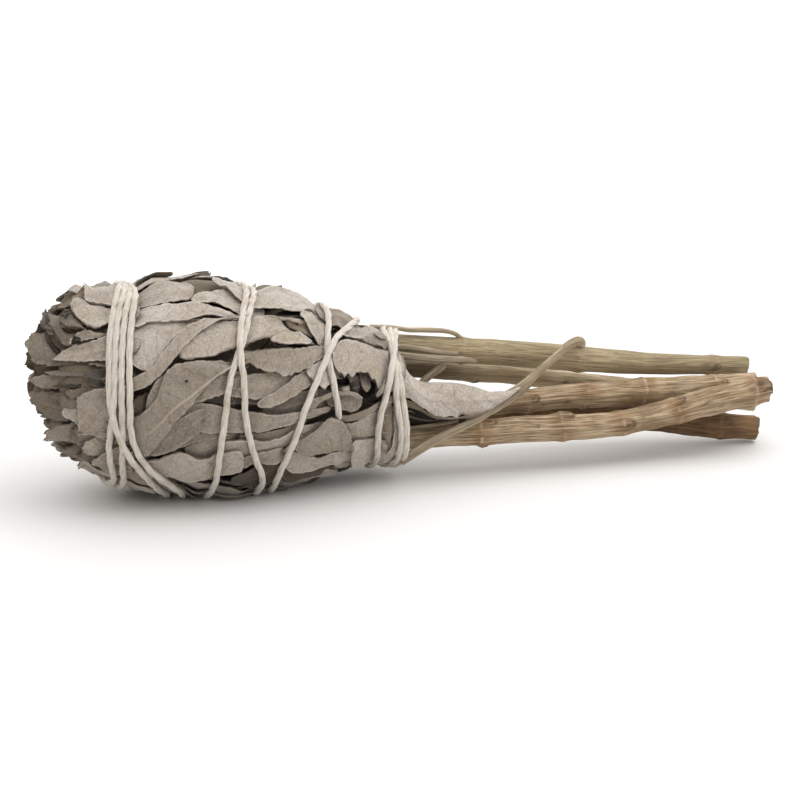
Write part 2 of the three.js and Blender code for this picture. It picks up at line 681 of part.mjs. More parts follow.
function addPiece(group, name, solid, finish) {
  const mesh = new THREE.Mesh(toGeometry(solid), new THREE.MeshStandardMaterial(finish));
  mesh.name = name;
  group.add(mesh);
}

const group = new THREE.Group();
const stringWhole = stringSolid(STRING_RADIUS);
const stringRoom = stringSolid(STRING_RADIUS + CLEARANCE);
const stemRooms = joined(STEMS.map((stem) => stemSolid(stem, CLEARANCE)));

const leaves = [...shownLeaves(), ...rowLeaves(), ...tipLeaves()];
let head = joined([toSolid(headCore()), ...leaves.map((leaf) => toSolid(leafBlade(leaf)))]);
head = largestBody(head).subtract(stemRooms).subtract(stringRoom).subtract(floorCutter());
head = largestBody(head);

let neckLeaf = neckLeafSolid(0).subtract(stemRooms).subtract(stringRoom);
neckLeaf = largestBody(neckLeaf);
head = largestBody(head.subtract(neckLeafSolid(CLEARANCE)));

addPiece(group, "leaf_head", head, GREY_LEAF);
addPiece(group, "neck_leaf", neckLeaf, GREY_LEAF);
addPiece(group, "cotton_string", stringWhole, CREAM_COTTON);
for (const stem of STEMS) {
  const solid = largestBody(stemSolid(stem, 0).subtract(stringRoom));
  addPiece(group, stem.name, solid, stem.finish);
}

export default group;
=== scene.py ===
# %% [markdown]
# A sage smudge stick is a torch-shaped bundle: a head of dried white sage leaves, one
# cotton string wound round it, and five cut woody stems as a handle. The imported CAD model
# is loaded first. It says where every piece goes, so each finer piece below is made in its
# place from the same numbers, in millimetres, and turned to metres when it becomes a mesh.

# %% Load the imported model
import math

import bmesh
import bpy
import numpy as np
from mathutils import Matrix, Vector


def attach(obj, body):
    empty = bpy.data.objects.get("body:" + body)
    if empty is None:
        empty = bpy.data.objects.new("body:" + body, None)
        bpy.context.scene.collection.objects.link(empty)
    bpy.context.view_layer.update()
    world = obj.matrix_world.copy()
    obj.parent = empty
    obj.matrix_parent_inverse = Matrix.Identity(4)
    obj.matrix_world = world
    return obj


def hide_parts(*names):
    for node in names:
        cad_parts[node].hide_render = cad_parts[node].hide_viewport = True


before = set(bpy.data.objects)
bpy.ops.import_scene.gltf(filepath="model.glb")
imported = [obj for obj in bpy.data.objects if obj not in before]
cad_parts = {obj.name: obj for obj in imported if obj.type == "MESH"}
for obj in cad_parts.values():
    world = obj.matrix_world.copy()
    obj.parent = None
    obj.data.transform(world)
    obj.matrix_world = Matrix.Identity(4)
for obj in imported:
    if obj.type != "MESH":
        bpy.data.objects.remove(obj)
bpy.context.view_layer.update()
print("CAD nodes:", sorted(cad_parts))

# %% [markdown]
# The photograph looks at the stick from its front left and a little above, through a long
# lens. A lens of 135 mm on the usual 36 mm sensor gives the same mild perspective.

# %% Camera
AZIMUTH_DEG = -16.2
ELEVATION_DEG = 15.0
DISTANCE = 0.6
TARGET = Vector((0.0003, 0.00025, 0.018))

azimuth = math.radians(AZIMUTH_DEG)
elevation = math.radians(ELEVATION_DEG)
level = math.cos(elevation)
back = Vector((math.sin(azimuth) * level, -math.cos(azimuth) * level, math.sin(elevation)))
camera = bpy.data.objects.new("camera", bpy.data.cameras.new("camera"))
camera.data.lens = 135
camera.data.sensor_width = 36
camera.data.shift_y = -0.0194
camera.data.clip_start = 0.01
camera.location = TARGET + back * DISTANCE
camera.rotation_mode = "QUATERNION"
camera.rotation_quaternion = back.to_track_quat("Z", "Y")
bpy.context.scene.collection.objects.link(camera)
bpy.context.scene.camera = camera
print("camera at", [round(x, 3) for x in camera.location])

# %% [markdown]
# The studio is white: a pale floor, a large soft light above and behind the stick, whose
# shadow falls towards the camera, and an even white surround. The surround is shown at
# full white but lights the scene more weakly, and more from above than from the sides, so
# that the front is shaded and the gaps between leaves stay dark.

# %% Floor and light
FLOOR_HALF = 4.0
SURROUND_LOW = 0.37
SURROUND_HIGH = 1.0
KEY_WATTS = 13
KEY_SIZE = 2.3
KEY_PLACE = Vector((0.15, 0.24, 0.66))
FILL_WATTS = 1.2
FILL_SIZE = 0.7
FILL_PLACE = Vector((0.5, -0.3, 0.35))

floor_mesh = bpy.data.meshes.new("floor")
corners = [(-1, -1, 0), (1, -1, 0), (1, 1, 0), (-1, 1, 0)]
floor_mesh.from_pydata([[FLOOR_HALF * x for x in c] for c in corners], [], [(0, 1, 2, 3)])
floor = bpy.data.objects.new("floor", floor_mesh)
bpy.context.scene.collection.objects.link(floor)

floor_paint = bpy.data.materials.new("floor_paint")
floor_paint.use_nodes = True
floor_shader = floor_paint.node_tree.nodes["Principled BSDF"]
floor_shader.inputs["Base Color"].default_value = (0.76, 0.748, 0.735, 1)
floor_shader.inputs["Roughness"].default_value = 0.6
floor_shader.inputs["Specular IOR Level"].default_value = 0.2
floor_mesh.materials.append(floor_paint)

for name, watts, size, place in (("key", KEY_WATTS, KEY_SIZE, KEY_PLACE),
                                 ("fill", FILL_WATTS, FILL_SIZE, FILL_PLACE)):
    light = bpy.data.objects.new(name, bpy.data.lights.new(name, "AREA"))
    light.data.energy = watts
    light.data.size = size
    light.location = place
    light.rotation_mode = "QUATERNION"
    light.rotation_quaternion = (place - Vector((0.01, 0, 0.02))).to_track_quat("Z", "Y")
    bpy.context.scene.collection.objects.link(light)


def node(tree, kind, inputs=None, **settings):
    made = tree.nodes.new(kind)
    for name, value in settings.items():
        setattr(made, name, value)
    for name, value in (inputs or {}).items():
        if isinstance(value, bpy.types.NodeSocket):
            tree.links.new(value, made.inputs[name])
        else:
            made.inputs[name].default_value = value
    return made


world = bpy.data.worlds.new("surround")
world.use_nodes = True
bpy.context.scene.world = world
tree = world.node_tree
surround = tree.nodes["Background"]
direction = node(tree, "ShaderNodeSeparateXYZ", {0: tree.nodes.new("ShaderNodeTexCoord").outputs["Object"]})
from_above = node(tree, "ShaderNodeMapRange", {
    "Value": direction.outputs["Z"], "From Min": -0.1, "From Max": 0.85, "To Min": SURROUND_LOW,
    "To Max": SURROUND_HIGH}, interpolation_type="SMOOTHSTEP")
strength = node(tree, "ShaderNodeMapRange", {
    "Value": tree.nodes.new("ShaderNodeLightPath").outputs["Is Camera Ray"],
    "To Min": from_above.outputs["Result"], "To Max": 1.0})
surround.inputs["Color"].default_value = (1, 1, 1, 1)
tree.links.new(strength.outputs["Result"], surround.inputs["Strength"])
bpy.context.scene.view_settings.view_transform = "Standard"
print("lights:", KEY_WATTS, "W from behind and", FILL_WATTS, "W from the right")

# %% [markdown]
# The head is laid out on a surface of revolution: `at` is the distance from the leafy tip
# along a gently dipping axis, and `turn` is the angle round it, 0 at the front, 90 on top.
# The radius swells from the blunt tip to the belly and narrows to the neck. These are the
# formulas of the CAD source, so leaves and string land where its solids are.

# %% The head's form
MM = 0.001
SHIFT_Y = 0.25
DIP = math.radians(7.6)
BELLY_AT = 34
NECK_AT = 76
TIP_RADIUS = 10.5
BELLY_RADIUS = 21.4
NECK_RADIUS = 13.2
HEAD_TIP = np.array([-75.7, SHIFT_Y, 21 + BELLY_AT * math.sin(DIP)])
ALONG = np.array([math.cos(DIP), 0, -math.sin(DIP)])
FRONT = np.array([0, -1.0, 0])
UPWARD = np.array([math.sin(DIP), 0, math.cos(DIP)])


def lerp(a, b, u):
    return a + (b - a) * u


def span(along, turned, radius):
    return np.hypot(along, radius * np.radians(turned))


def round_from(turn, around):
    return (turn - around + 180) % 360 - 180


def ramp(low, high, x):
    t = np.clip((x - low) / (high - low), 0, 1)
    return t * t * (3 - 2 * t)


def head_radius(at):
    place = np.clip(at, 0, NECK_AT)
    near = np.clip((BELLY_AT - place) / BELLY_AT, 0, 1) ** 2.3
    far = np.clip((place - BELLY_AT) / (NECK_AT - BELLY_AT), 0, 1) ** 1.25
    swollen = BELLY_RADIUS - near * (BELLY_RADIUS - TIP_RADIUS)
    return swollen - (BELLY_RADIUS - NECK_RADIUS) * (1 - np.cos(np.pi * far)) / 2


def outward(turn):
    angle = np.radians(turn)[..., None]
    return FRONT * np.cos(angle) + UPWARD * np.sin(angle)


def head_point(at, turn, radius):
    return HEAD_TIP + ALONG * at[..., None] + outward(turn) * radius[..., None]


print("belly across:", 2 * float(head_radius(BELLY_AT)), "mm")

# %% [markdown]
# Nothing here is random from run to run. `draw` is a repeatable draw for one leaf and one
# trait, the same one as in the CAD source, and `vary` spreads it evenly round zero.
# `wander` is smooth noise along a line, `crumple` is the same over a sheet, and `rumple`
# adds a finer layer, because dry leaves and bark are uneven at more than one scale.

# %% Repeatable variation
def draw(index, trait):
    wave = np.sin(index * 127.1 + trait * 311.7) * 43758.5453
    return wave - np.floor(wave)


def vary(index, trait, spread):
    return (2 * draw(index, trait) - 1) * spread


def wander(x, seed):
    i = np.floor(x)
    return 2 * lerp(draw(i, seed), draw(i + 1, seed), ramp(0, 1, x - i)) - 1


def crumple(x, y, seed):
    j = np.floor(y)
    low = wander(x + 57 * j, seed)
    high = wander(x + 57 * (j + 1), seed)
    return lerp(low, high, ramp(0, 1, y - j))


def rumple(x, y, seed):
    return crumple(x, y, seed) + 0.5 * crumple(2.1 * x, 2.1 * y, seed + 7)


print("first draws:", [round(float(draw(k, 1)), 3) for k in (1, 2, 3)])

# %% [markdown]
# Every piece becomes a mesh through one helper. It takes points in millimetres, four-sided
# faces, numbers kept on the points for the materials to read, and a UV map in millimetres,
# so that veins and grain follow each leaf and stem wherever it bends. A leaf is a closed
# shell of two faces and a rim. A stem is a tube, and with `poles` the ring of points that
# has shrunk to one place at its end becomes one point.

# %% Meshes from arrays
def make_mesh(name, points, quads, fields, uv, poles=False):
    mesh = bpy.data.meshes.new(name)
    mesh.vertices.add(len(points))
    mesh.vertices.foreach_set("co", (points * MM).astype(np.float32).ravel())
    mesh.loops.add(quads.size)
    mesh.loops.foreach_set("vertex_index", quads.astype(np.int32).ravel())
    mesh.polygons.add(len(quads))
    mesh.polygons.foreach_set("loop_start", np.arange(0, quads.size, 4, dtype=np.int32))
    mesh.update(calc_edges=True)
    for field, values in fields.items():
        layer = mesh.attributes.new(field, "FLOAT", "POINT")
        layer.data.foreach_set("value", values.astype(np.float32))
    layer = mesh.uv_layers.new(name="UVMap")
    layer.data.foreach_set("uv", uv[quads.ravel()].astype(np.float32).ravel())
    mesh.polygons.foreach_set("use_smooth", np.ones(len(quads), bool))
    mesh.validate()
    if poles:
        shape = bmesh.new()
        shape.from_mesh(mesh)
        bmesh.ops.remove_doubles(shape, verts=shape.verts, dist=1e-7)
        shape.to_mesh(mesh)
        shape.free()
    piece = bpy.data.objects.new(name, mesh)
    bpy.context.scene.collection.objects.link(piece)
    print(name, "has", len(mesh.polygons), "faces")
    return piece


def shell_quads(rows, columns):
    index = np.arange(rows * columns).reshape(rows, columns)
    top = np.stack([index[:-1, :-1], index[:-1, 1:], index[1:, 1:], index[1:, :-1]], -1).reshape(-1, 4)
    below = rows * columns
    under = top[:, ::-1] + below
    border = np.concatenate([index[0, :], index[1:, -1], index[-1, -2::-1], index[-2:0:-1, 0]])
    ahead = np.roll(border, -1)
    rim = np.stack([ahead, border, border + below, ahead + below], -1)
    return np.concatenate([top, under, rim])


def tube_quads(rows, columns):
    index = np.arange(rows * columns).reshape(rows, columns)
    ahead = np.roll(index, -1, axis=1)
    return np.stack([index[:-1], ahead[:-1], ahead[1:], index[1:]], -1).reshape(-1, 4)


def uv_of(x, y):
    return np.stack(np.broadcast_arrays(x, y), -1).reshape(-1, 2)


print("a leaf of 12 by 7 points has", len(shell_quads(12, 7)), "faces")

# %% [markdown]
# One cotton string runs about eleven times round the head, from the neck to the tip and
# back. Its route is the same one as in the CAD source, read off the photograph in front and
# carried on over the back. It is a list of turned angle, distance from the tip, and so on.

# %% The string's route
ROUTE = np.array([
    -80, 73, -35, 74, 4, 71, 22, 70.7, 34, 71.1, 43, 71.5, 53, 72, 62, 72.3, 71, 72.6, 81, 73.1, 87, 73.5,
    95, 74.1, 105, 74.7, 115, 75.2, 125, 75.7, 138, 76.2, 180, 76, 270, 74, 330, 72.6, 357, 72.7, 381, 71.7,
    395, 71.4, 407, 71.3, 419, 71.3, 431, 71.4, 440, 71.7, 448, 72.2, 456, 72.9, 465, 73.6, 475, 74.1,
    487, 74.5, 502, 75.1, 540, 73.9, 630, 71, 675, 68.4, 723, 65.4, 740, 62.7, 750, 60.6, 759, 58.6,
    766, 57.2, 772, 56.3, 778, 55.5, 784, 54.6, 789, 53.9, 795, 53.1, 801, 52.3, 806, 51.6, 812, 51.2,
    818, 51, 824, 50.6, 830, 50, 838, 49.6, 845, 49.3, 855, 49.3, 900, 50.6, 945, 49, 990, 45.6, 1050, 44,
    1089, 43.3, 1104, 41.6, 1112, 40.6, 1119, 39.9, 1126, 39.3, 1131, 38.7, 1137, 37.9, 1142, 37, 1148, 36.3,
    1153, 35.9, 1158, 35.7, 1163, 35.6, 1168, 35.6, 1173, 35.6, 1179, 35.7, 1185, 35.6, 1193, 35.9,
    1199, 36.1, 1207, 36.5, 1215, 36.9, 1260, 37, 1305, 34.4, 1350, 29, 1395, 23, 1445, 17, 1463, 15.3,
    1478, 14.1, 1489, 13.5, 1498, 13.3, 1507, 13.3, 1516, 13.4, 1525, 13.6, 1533, 14.1, 1541, 15, 1549, 16.2,
    1555, 17.5, 1561, 19.1, 1568, 21, 1574, 22.9, 1582, 24.8, 1600, 29.5, 1620, 31, 1665, 28.4, 1710, 23.6,
    1755, 18.8, 1811, 17.7, 1826, 16.1, 1839, 15.1, 1849, 14.6, 1858, 14.4, 1867, 14.3, 1876, 14.4,
    1884, 14.5, 1893, 14.6, 1901, 14.7, 1910, 14.7, 1920, 15.1, 1928, 15.8, 1937, 16.8, 1949, 18.2,
    1980, 18.3, 2070, 17.9, 2174, 18.5, 2187, 17.2, 2200, 16.3, 2209, 15.8, 2219, 15.6, 2227, 15.5,
    2236, 15.6, 2247, 15.9, 2258, 16.4, 2271, 17.1, 2281, 17.7, 2294, 18.6, 2307, 19.9, 2340, 20.4,
    2430, 20.8, 2536, 19.5, 2548, 18.4, 2560, 17.6, 2570, 17.1, 2579, 16.9, 2587, 16.9, 2595, 17, 2606, 17.4,
    2618, 17.8, 2626, 18.4, 2633, 19.3, 2640, 20.7, 2647, 22.8, 2653, 25, 2660, 27.8, 2664, 30.3, 2700, 35,
    2745, 38.4, 2790, 41.5, 2892, 41.5, 2905, 40.1, 2913, 39.3, 2920, 38.6, 2926, 38.1, 2932, 37.7,
    2937, 37.5, 2942, 37.8, 2947, 38.1, 2952, 38.6, 2957, 39, 2962, 38.9, 2967, 39.2, 2972, 39.7, 2978, 40.3,
    2983, 41.1, 2989, 42.1, 2996, 43.2, 3003, 44.7, 3013, 46.4, 3060, 47.4, 3105, 50.6, 3150, 55.6,
    3195, 58.6, 3250, 58.6, 3264, 57.7, 3274, 57.1, 3282, 56.6, 3290, 56.2, 3297, 56.4, 3302, 56.9,
    3308, 57.4, 3314, 57.8, 3320, 58.4, 3327, 59, 3332, 59.4, 3339, 60.1, 3370, 63.6, 3420, 66.4, 3510, 70,
    3591, 74, 3620, 72.5, 3633, 71.8, 3644, 71.1, 3655, 70.3, 3663, 69.8, 3671, 69.5, 3679, 69.1, 3687, 68.7,
    3695, 68.5, 3703, 68.6, 3713, 69, 3724, 69.7, 3738, 70.5, 3780, 71.2, 3860, 72.9,
]).reshape(-1, 2)
print("turns of string:", round((ROUTE[-1, 0] - ROUTE[0, 0]) / 360, 1))

# %% [markdown]
# A smooth curve through the route gives the string's place on the head. It lies close to
# the head's form, rises where it crosses an earlier turn (`CROSSINGS`: angle, how far each
# way, and how much), and is tucked under at one place. `BITTEN` and `CUT_AWAY` are hollows
# in the head's even form: distance, turn, how far each way, and depth. The string was
# pulled into the first kind, and only leaves are missing in the second.

# %% The string on the head
STRING_RADIUS = 0.66
STRING_LIFT = 0.3
TUCKED_FROM = 3334
TUCKED_TO = 3420
TUCKED_DROP = 2.3
STRING_FLOOR = 0.15
BITTEN = [(20, 100, 4.5, 50, 1.7), (28, 108, 7, 46, 1.1), (43.5, 102, 5, 44, 1.5)]
CUT_AWAY = [(13.5, -80, 6.5, 50, 2.5), (8.5, -80, 9, 50, 1.5), (12, 90, 5, 30, 1.5)]
CROSSINGS = [
    (768, 22, 0.9), (1553, 30, 0.8), (2939, 30, 0.8), (3661, 26, 0.8), (418, 20, 0.3),
]


def pressed(places, at, turn):
    deep = 0
    for where, around, reach, spread, by in places:
        away = np.hypot((at - where) / reach, round_from(turn, around) / spread)
        deep = deep + by * (1 - ramp(0, 1, away))
    return deep


def route_at(angle):
    knots, places = ROUTE[:, 0], ROUTE[:, 1]
    before = np.maximum(np.arange(len(ROUTE)) - 1, 0)
    after = np.minimum(np.arange(len(ROUTE)) + 1, len(ROUTE) - 1)
    slope = (places[after] - places[before]) / (knots[after] - knots[before])
    i = np.clip(np.searchsorted(knots, angle, side="right") - 1, 0, len(ROUTE) - 2)
    gap = knots[i + 1] - knots[i]
    u = (angle - knots[i]) / gap
    rise = u * u * (3 - 2 * u)
    bend = u * (1 - u) ** 2 * slope[i] - u * u * (1 - u) * slope[i + 1]
    return lerp(places[i], places[i + 1], rise) + gap * bend


def tucked(angle, ease):
    return ramp(TUCKED_FROM - ease, TUCKED_FROM + ease, angle) * ramp(TUCKED_TO + 9, TUCKED_TO - 9, angle)


def string_lift(angle):
    lift = np.full(angle.shape, STRING_LIFT)
    for where, reach, rise in CROSSINGS:
        away = np.minimum(1, np.abs(angle - where) / reach)
        lift = lift + rise * (1 + np.cos(np.pi * away)) / 2
    return lift - TUCKED_DROP * tucked(angle, 5)


string_angle = np.arange(ROUTE[0, 0], ROUTE[-1, 0], 1.0)
string_at = route_at(string_angle)
for _ in range(2):
    string_at = np.convolve(np.pad(string_at, 6, mode="edge"), np.ones(13) / 13, mode="valid")
string_turn = 90 - string_angle
string_height = head_radius(string_at) + string_lift(string_angle) - pressed(BITTEN, string_at, string_turn)
string_line = head_point(string_at, string_turn, string_height)
string_line[:, 2] = np.maximum(string_line[:, 2], STRING_RADIUS + STRING_FLOOR)
length = np.linalg.norm(np.diff(string_line, axis=0), axis=1).sum()
print("string in the winding:", round(length / 1000, 2), "m")

# %% [markdown]
# Leaves are laid one after another, as they would be by hand. A height map of the head,
# in steps of `at` and `turn`, remembers how high the leaves laid so far stand. A new leaf
# asks it what lies underneath, settles on that with some stiffness of its own, and is then
# written into the map. This gives real overlaps with no leaf passing through another.

# %% The height map
AT_STEP = 0.4
MAP_AT = np.arange(-6, 84, AT_STEP)
CORE_DEPTH = 7
LEAF_GAP = 0.06
NECK_END = 74
NECK_DROP = 0.7
held_in = NECK_DROP * np.maximum(0, MAP_AT - NECK_END)
heights = np.repeat((head_radius(MAP_AT) - CORE_DEPTH - held_in)[:, None], 360, axis=1)


def read_map(field, at, turn):
    x = np.clip((at - MAP_AT[0]) / AT_STEP, 0, len(MAP_AT) - 1.001)
    i = np.floor(x).astype(int)
    y = np.mod(turn, 360)
    j = np.floor(y).astype(int) % 360
    k = (j + 1) % 360
    fx, fy = x - i, y - np.floor(y)
    return lerp(lerp(field[i, j], field[i, k], fy), lerp(field[i + 1, j], field[i + 1, k], fy), fx)


def write_map(field, at, turn, height):
    i = np.clip(np.rint((at - MAP_AT[0]) / AT_STEP).astype(int), 0, len(MAP_AT) - 1)
    j = np.rint(np.mod(turn, 360)).astype(int) % 360
    np.maximum.at(field, (i.ravel(), j.ravel()), height.ravel())


def soften(grid):
    wide = np.pad(grid, 1, mode="edge")
    rows = (wide[:-2] + 2 * wide[1:-1] + wide[2:]) / 4
    return (rows[:, :-2] + 2 * rows[:, 1:-1] + rows[:, 2:]) / 4


def finer(grid, times):
    rows = np.linspace(0, grid.shape[0] - 1, grid.shape[0] * times)
    columns = np.linspace(0, grid.shape[1] - 1, grid.shape[1] * times)
    i = np.minimum(rows.astype(int), grid.shape[0] - 2)
    j = np.minimum(columns.astype(int), grid.shape[1] - 2)
    a = lerp(grid[i], grid[i + 1], (rows - i)[:, None])
    return lerp(a[:, j], a[:, j + 1], columns - j)


print("height map:", heights.shape[0], "steps along by", heights.shape[1], "degrees round")

# %% [markdown]
# A leaf is a thin sheet between two long edges, given as points from its base to its tip.
# What a dried white sage leaf has is added to it in the next steps. These are the values of
# a plain leaf, and any leaf below may have its own. `tint` runs from dark to pale;
# it is partly the leaf's own tone and partly painted light and shade, paler for leaves lit
# from above and darker for leaves in gaps or under others. `brown` is how brown its rim is,
# `bark` how far it has gone olive and woody, `sink` how far its base goes under, and `share`
# is less than 1 for leaves inside the tip.

# %% A plain leaf
BLADE_THICK = 0.34
PLAIN_LEAF = dict(
    tint=0.5, brown=0.12, bark=0, ribbed=0.25, painted_shade_to_base=0, rib=0.1, rib_at=[0, 0], veined=1,
    crumpled=1, crown=0.16, fold=0, fold_at=0, lift_one=0.3, lift_two=0.3, sink=1.2, share=1,
    rounding=0.05, heel=0.12, scallop=0.1, torn_one=0, torn_two=0, torn_tip=0)
print("traits of a leaf:", len(PLAIN_LEAF))

# %% [markdown]
# First comes the outline. Both edges are cut into even steps and the sheet is stretched
# between them, narrower at its heel and rounded at its tip. Its columns stand closer at the
# margins, where the small shapes are. `x` and `y` are its own measures along and across the
# rib, so that rib and veins keep their size on every leaf.

# %% The outline of a leaf
def even_points(edge, rows):
    edge = np.array(edge, float).reshape(-1, 2)
    round_way = head_radius(edge[:, 0]) * np.radians(edge[:, 1])
    steps = np.hypot(np.diff(edge[:, 0]), np.diff(round_way))
    way = np.concatenate([[0], np.cumsum(steps)])
    u = np.linspace(0, way[-1], rows)
    line = np.stack([np.interp(u, way, edge[:, 0]), np.interp(u, way, edge[:, 1])], -1)
    for _ in range(2):
        line[1:-1] = (line[:-2] + 2 * line[1:-1] + line[2:]) / 4
    return line


def leaf_sheet(leaf):
    rows, columns = leaf["rows"], leaf["columns"]
    one = even_points(leaf["one"], rows)
    two = even_points(leaf["two"], rows)
    u = np.linspace(0, 1, rows)[:, None]
    v = np.sin(np.linspace(-1, 1, columns) * math.pi / 2 * 0.94)[None, :]
    v = v / v.max()
    place = np.clip(u * (1 - leaf["rounding"] * np.abs(v) ** 4), 0, 1) * (rows - 1)
    i = np.minimum(place.astype(int), rows - 2)
    share = (place - i)[..., None]
    heel = np.minimum(1, u / leaf["heel"])
    side = ((v * (0.3 + 0.7 * np.sqrt(1 - (1 - heel) ** 2)) + 1) / 2)[..., None]
    grid = lerp(lerp(one[i], one[i + 1], share), lerp(two[i], two[i + 1], share), side)
    at, turn = grid[..., 0], grid[..., 1]
    radius = head_radius(at)
    width = span(one[:, 0] - two[:, 0], one[:, 1] - two[:, 1], radius[:, 0])
    middle = grid[:, columns // 2]
    step = span(np.diff(middle[:, 0]), np.diff(middle[:, 1]), radius[1:, 0])
    x = np.concatenate([[0], np.cumsum(step)])[:, None] + 0 * v
    half = np.maximum(width, 0.3)[:, None] / 2
    y = half * (v - np.interp(u, np.linspace(0, 1, len(leaf["rib_at"])), leaf["rib_at"]))
    return u, v, at, turn, x, y, half


print("an edge in even steps:", even_points([50, 0, 30, 10], 4).round(1).tolist())

# %% [markdown]
# Next the margin. A sage leaf is finely scalloped, and a dried one is chipped or torn too.
# Noise moves the points near each edge along the sheet itself, towards the rib. So a tear
# takes away blade and doesn't bend it, and the rest of the leaf stays where it was.

# %% Scalloped and torn margins
def frayed(leaf, u, v, at, turn, x, seed):
    teeth = 0.16 * wander(x / 0.8, seed) + 0.16 * wander(x / 2.3, seed + 1)
    waves = np.pi * x / 1.15 + 2 * wander(x / 5, seed + 6)
    teeth = teeth + leaf["scallop"] * (1 - np.abs(np.sin(waves)))
    torn = 0.55 * np.abs(wander(x / 1.5, seed + 2)) + 0.45 * wander(x / 0.7, seed + 3)
    push_one = teeth + leaf["torn_one"] * torn
    push_two = teeth[:, ::-1] + leaf["torn_two"] * torn
    across_at = at[:, -1:] - at[:, :1]
    across_turn = turn[:, -1:] - turn[:, :1]
    way = span(across_at, across_turn, head_radius(at[:, :1])) + 0.5
    inward_one = np.clip(-v, 0, 1) ** 6 * push_one / way
    inward_two = -np.clip(v, 0, 1) ** 6 * push_two / way
    shift = inward_one + inward_two
    ends = ramp(0.93, 1, u) * (0.35 + 1.2 * leaf["torn_tip"])
    along = ends * wander(v * 2.6 + 3, seed + 4) * 0.45
    along = along - ramp(0.9, 1, u) * leaf["scallop"] * np.abs(np.cos(way * v * 1.3 + seed)) * 1.3
    lead_at = at[-1:, :] - at[-4:-3, :]
    lead_turn = turn[-1:, :] - turn[-4:-3, :]
    lead = span(lead_at, lead_turn, head_radius(at[-1:, :])) + 0.3
    new_at = at + across_at * shift + along * lead_at / lead
    new_turn = turn + across_turn * shift + along * lead_turn / lead
    return new_at, new_turn


print("scallops of a plain leaf are", PLAIN_LEAF["scallop"], "mm deep")

# %% [markdown]
# Then the relief. The midrib is a low ridge, the side veins slant away from it, and between
# them the blade is crumpled at two scales, as it shrank while it dried. The crown is its
# soft arch from side to side. The edges and the tip lift, and some leaves are folded.

# %% Rib, veins and crumples
LIFT_TIP = 0.1


def relief(leaf, u, v, x, y, seed):
    half = np.abs(y).max() + 0.1
    rib = leaf["rib"] * np.exp(-(y / 0.34) ** 2) * (1 - ramp(0.6, 1, u))
    slant = (x - 0.9 * np.abs(y)) / 2.1
    veins = 0.045 * np.cos(2 * np.pi * slant) * ramp(0.3, 1.5, np.abs(y)) * leaf["veined"]
    crinkle = 0.28 * rumple(x / 6.2, y / 2.9, seed + 10) + 0.08 * rumple(x / 1.6, y / 1.2, seed + 11)
    crinkle = leaf["crumpled"] * crinkle
    wavy = 0.16 * wander(x / 3.1, seed + 12) * np.abs(v) ** 3
    crown = leaf["crown"] * (1 - v ** 4) * min(1, half / 2)
    lift_one = leaf["lift_one"] * ramp(0.55, 1, -v)
    lift_two = leaf["lift_two"] * ramp(0.55, 1, v)
    tip = LIFT_TIP * ramp(0.7, 1, u)
    fold = leaf["fold"] * np.maximum(0, 1 - np.abs(v - leaf["fold_at"]) / 0.5)
    return rib + veins + crinkle + wavy + crown + lift_one + lift_two + tip + fold


print("the rib of a plain leaf is", PLAIN_LEAF["rib"], "mm high and its crown", PLAIN_LEAF["crown"], "mm")

# %% [markdown]
# Last the leaf is laid. It would lie at its own lift above the head's form, but it rests on
# whatever is there, smoothed a few times because a dry leaf is stiff. Both faces and the
# rim make one closed skin a third of a millimetre thick, thinner at the margin. What the
# material needs to know is kept on every point.

# %% Laying a leaf
STIFFNESS = 5
LEAF_FIELDS = ("margin", "tint", "brown", "bark", "ribbed")
laid = []


def lay(leaf, seed):
    leaf = {**PLAIN_LEAF, **leaf}
    u, v, at, turn, x, y, half = leaf_sheet(leaf)
    at, turn = frayed(leaf, u, v, at, turn, x, seed)
    rest = head_radius(at) * leaf["share"] + leaf["lift"]
    rest = rest - leaf["sink"] * (1 - ramp(0, 0.35, u))
    rest = rest - NECK_DROP * np.maximum(0, at - NECK_END)
    if leaf["share"] == 1:
        under = read_map(heights, at, turn) + LEAF_GAP
        rest = np.maximum(rest, under)
        for _ in range(STIFFNESS):
            rest = np.maximum(soften(rest), under)
        rest = soften(rest)
    top = rest + BLADE_THICK + relief(leaf, u, v, x, y, seed)
    if leaf["share"] == 1:
        write_map(heights, finer(at, 3), finer(turn, 3), finer(top, 3))
    inside = np.minimum(1, np.minimum(1 - np.abs(v), 1 - u * 0.999) * 12)
    thick = BLADE_THICK * (0.55 + 0.45 * inside)
    leaf["margin"] = np.minimum(half * (1 - np.abs(v)), x.max() - x)
    # painted shade: tip leaves are darkened towards their bases, which lie deeper in, and lightened towards
    # their ends
    leaf["tint"] = leaf["tint"] + vary(seed, 31, 0.16) + leaf["painted_shade_to_base"] * (u - 0.6)
    leaf["ribbed"] = leaf["ribbed"] * (1 - ramp(0.6, 0.95, u))
    sheet = {field: leaf[field] + 0 * at for field in LEAF_FIELDS}
    sheet.update(at=at, turn=turn, top=top, under=top - thick, x=x, y=y)
    sheet.update(share=leaf["share"], part=leaf["part"])
    laid.append(sheet)


print("kept on the points of a leaf:", LEAF_FIELDS)

# %% [markdown]
# Most of the head is covered by leaves that nobody sees one by one, above all at the back.
# Those are laid by rule: a centre line from base to tip, a width that swells and ends in a
# point or bluntly, and a few repeatable draws for place, length, tilt and lift.

# %% A leaf by rule
POINTED = [0.4, 0.82, 1, 0.76, 0.12]
BLUNT = [0.5, 0.88, 1, 0.97, 0.62]
LEAST_RADIUS = 2.5


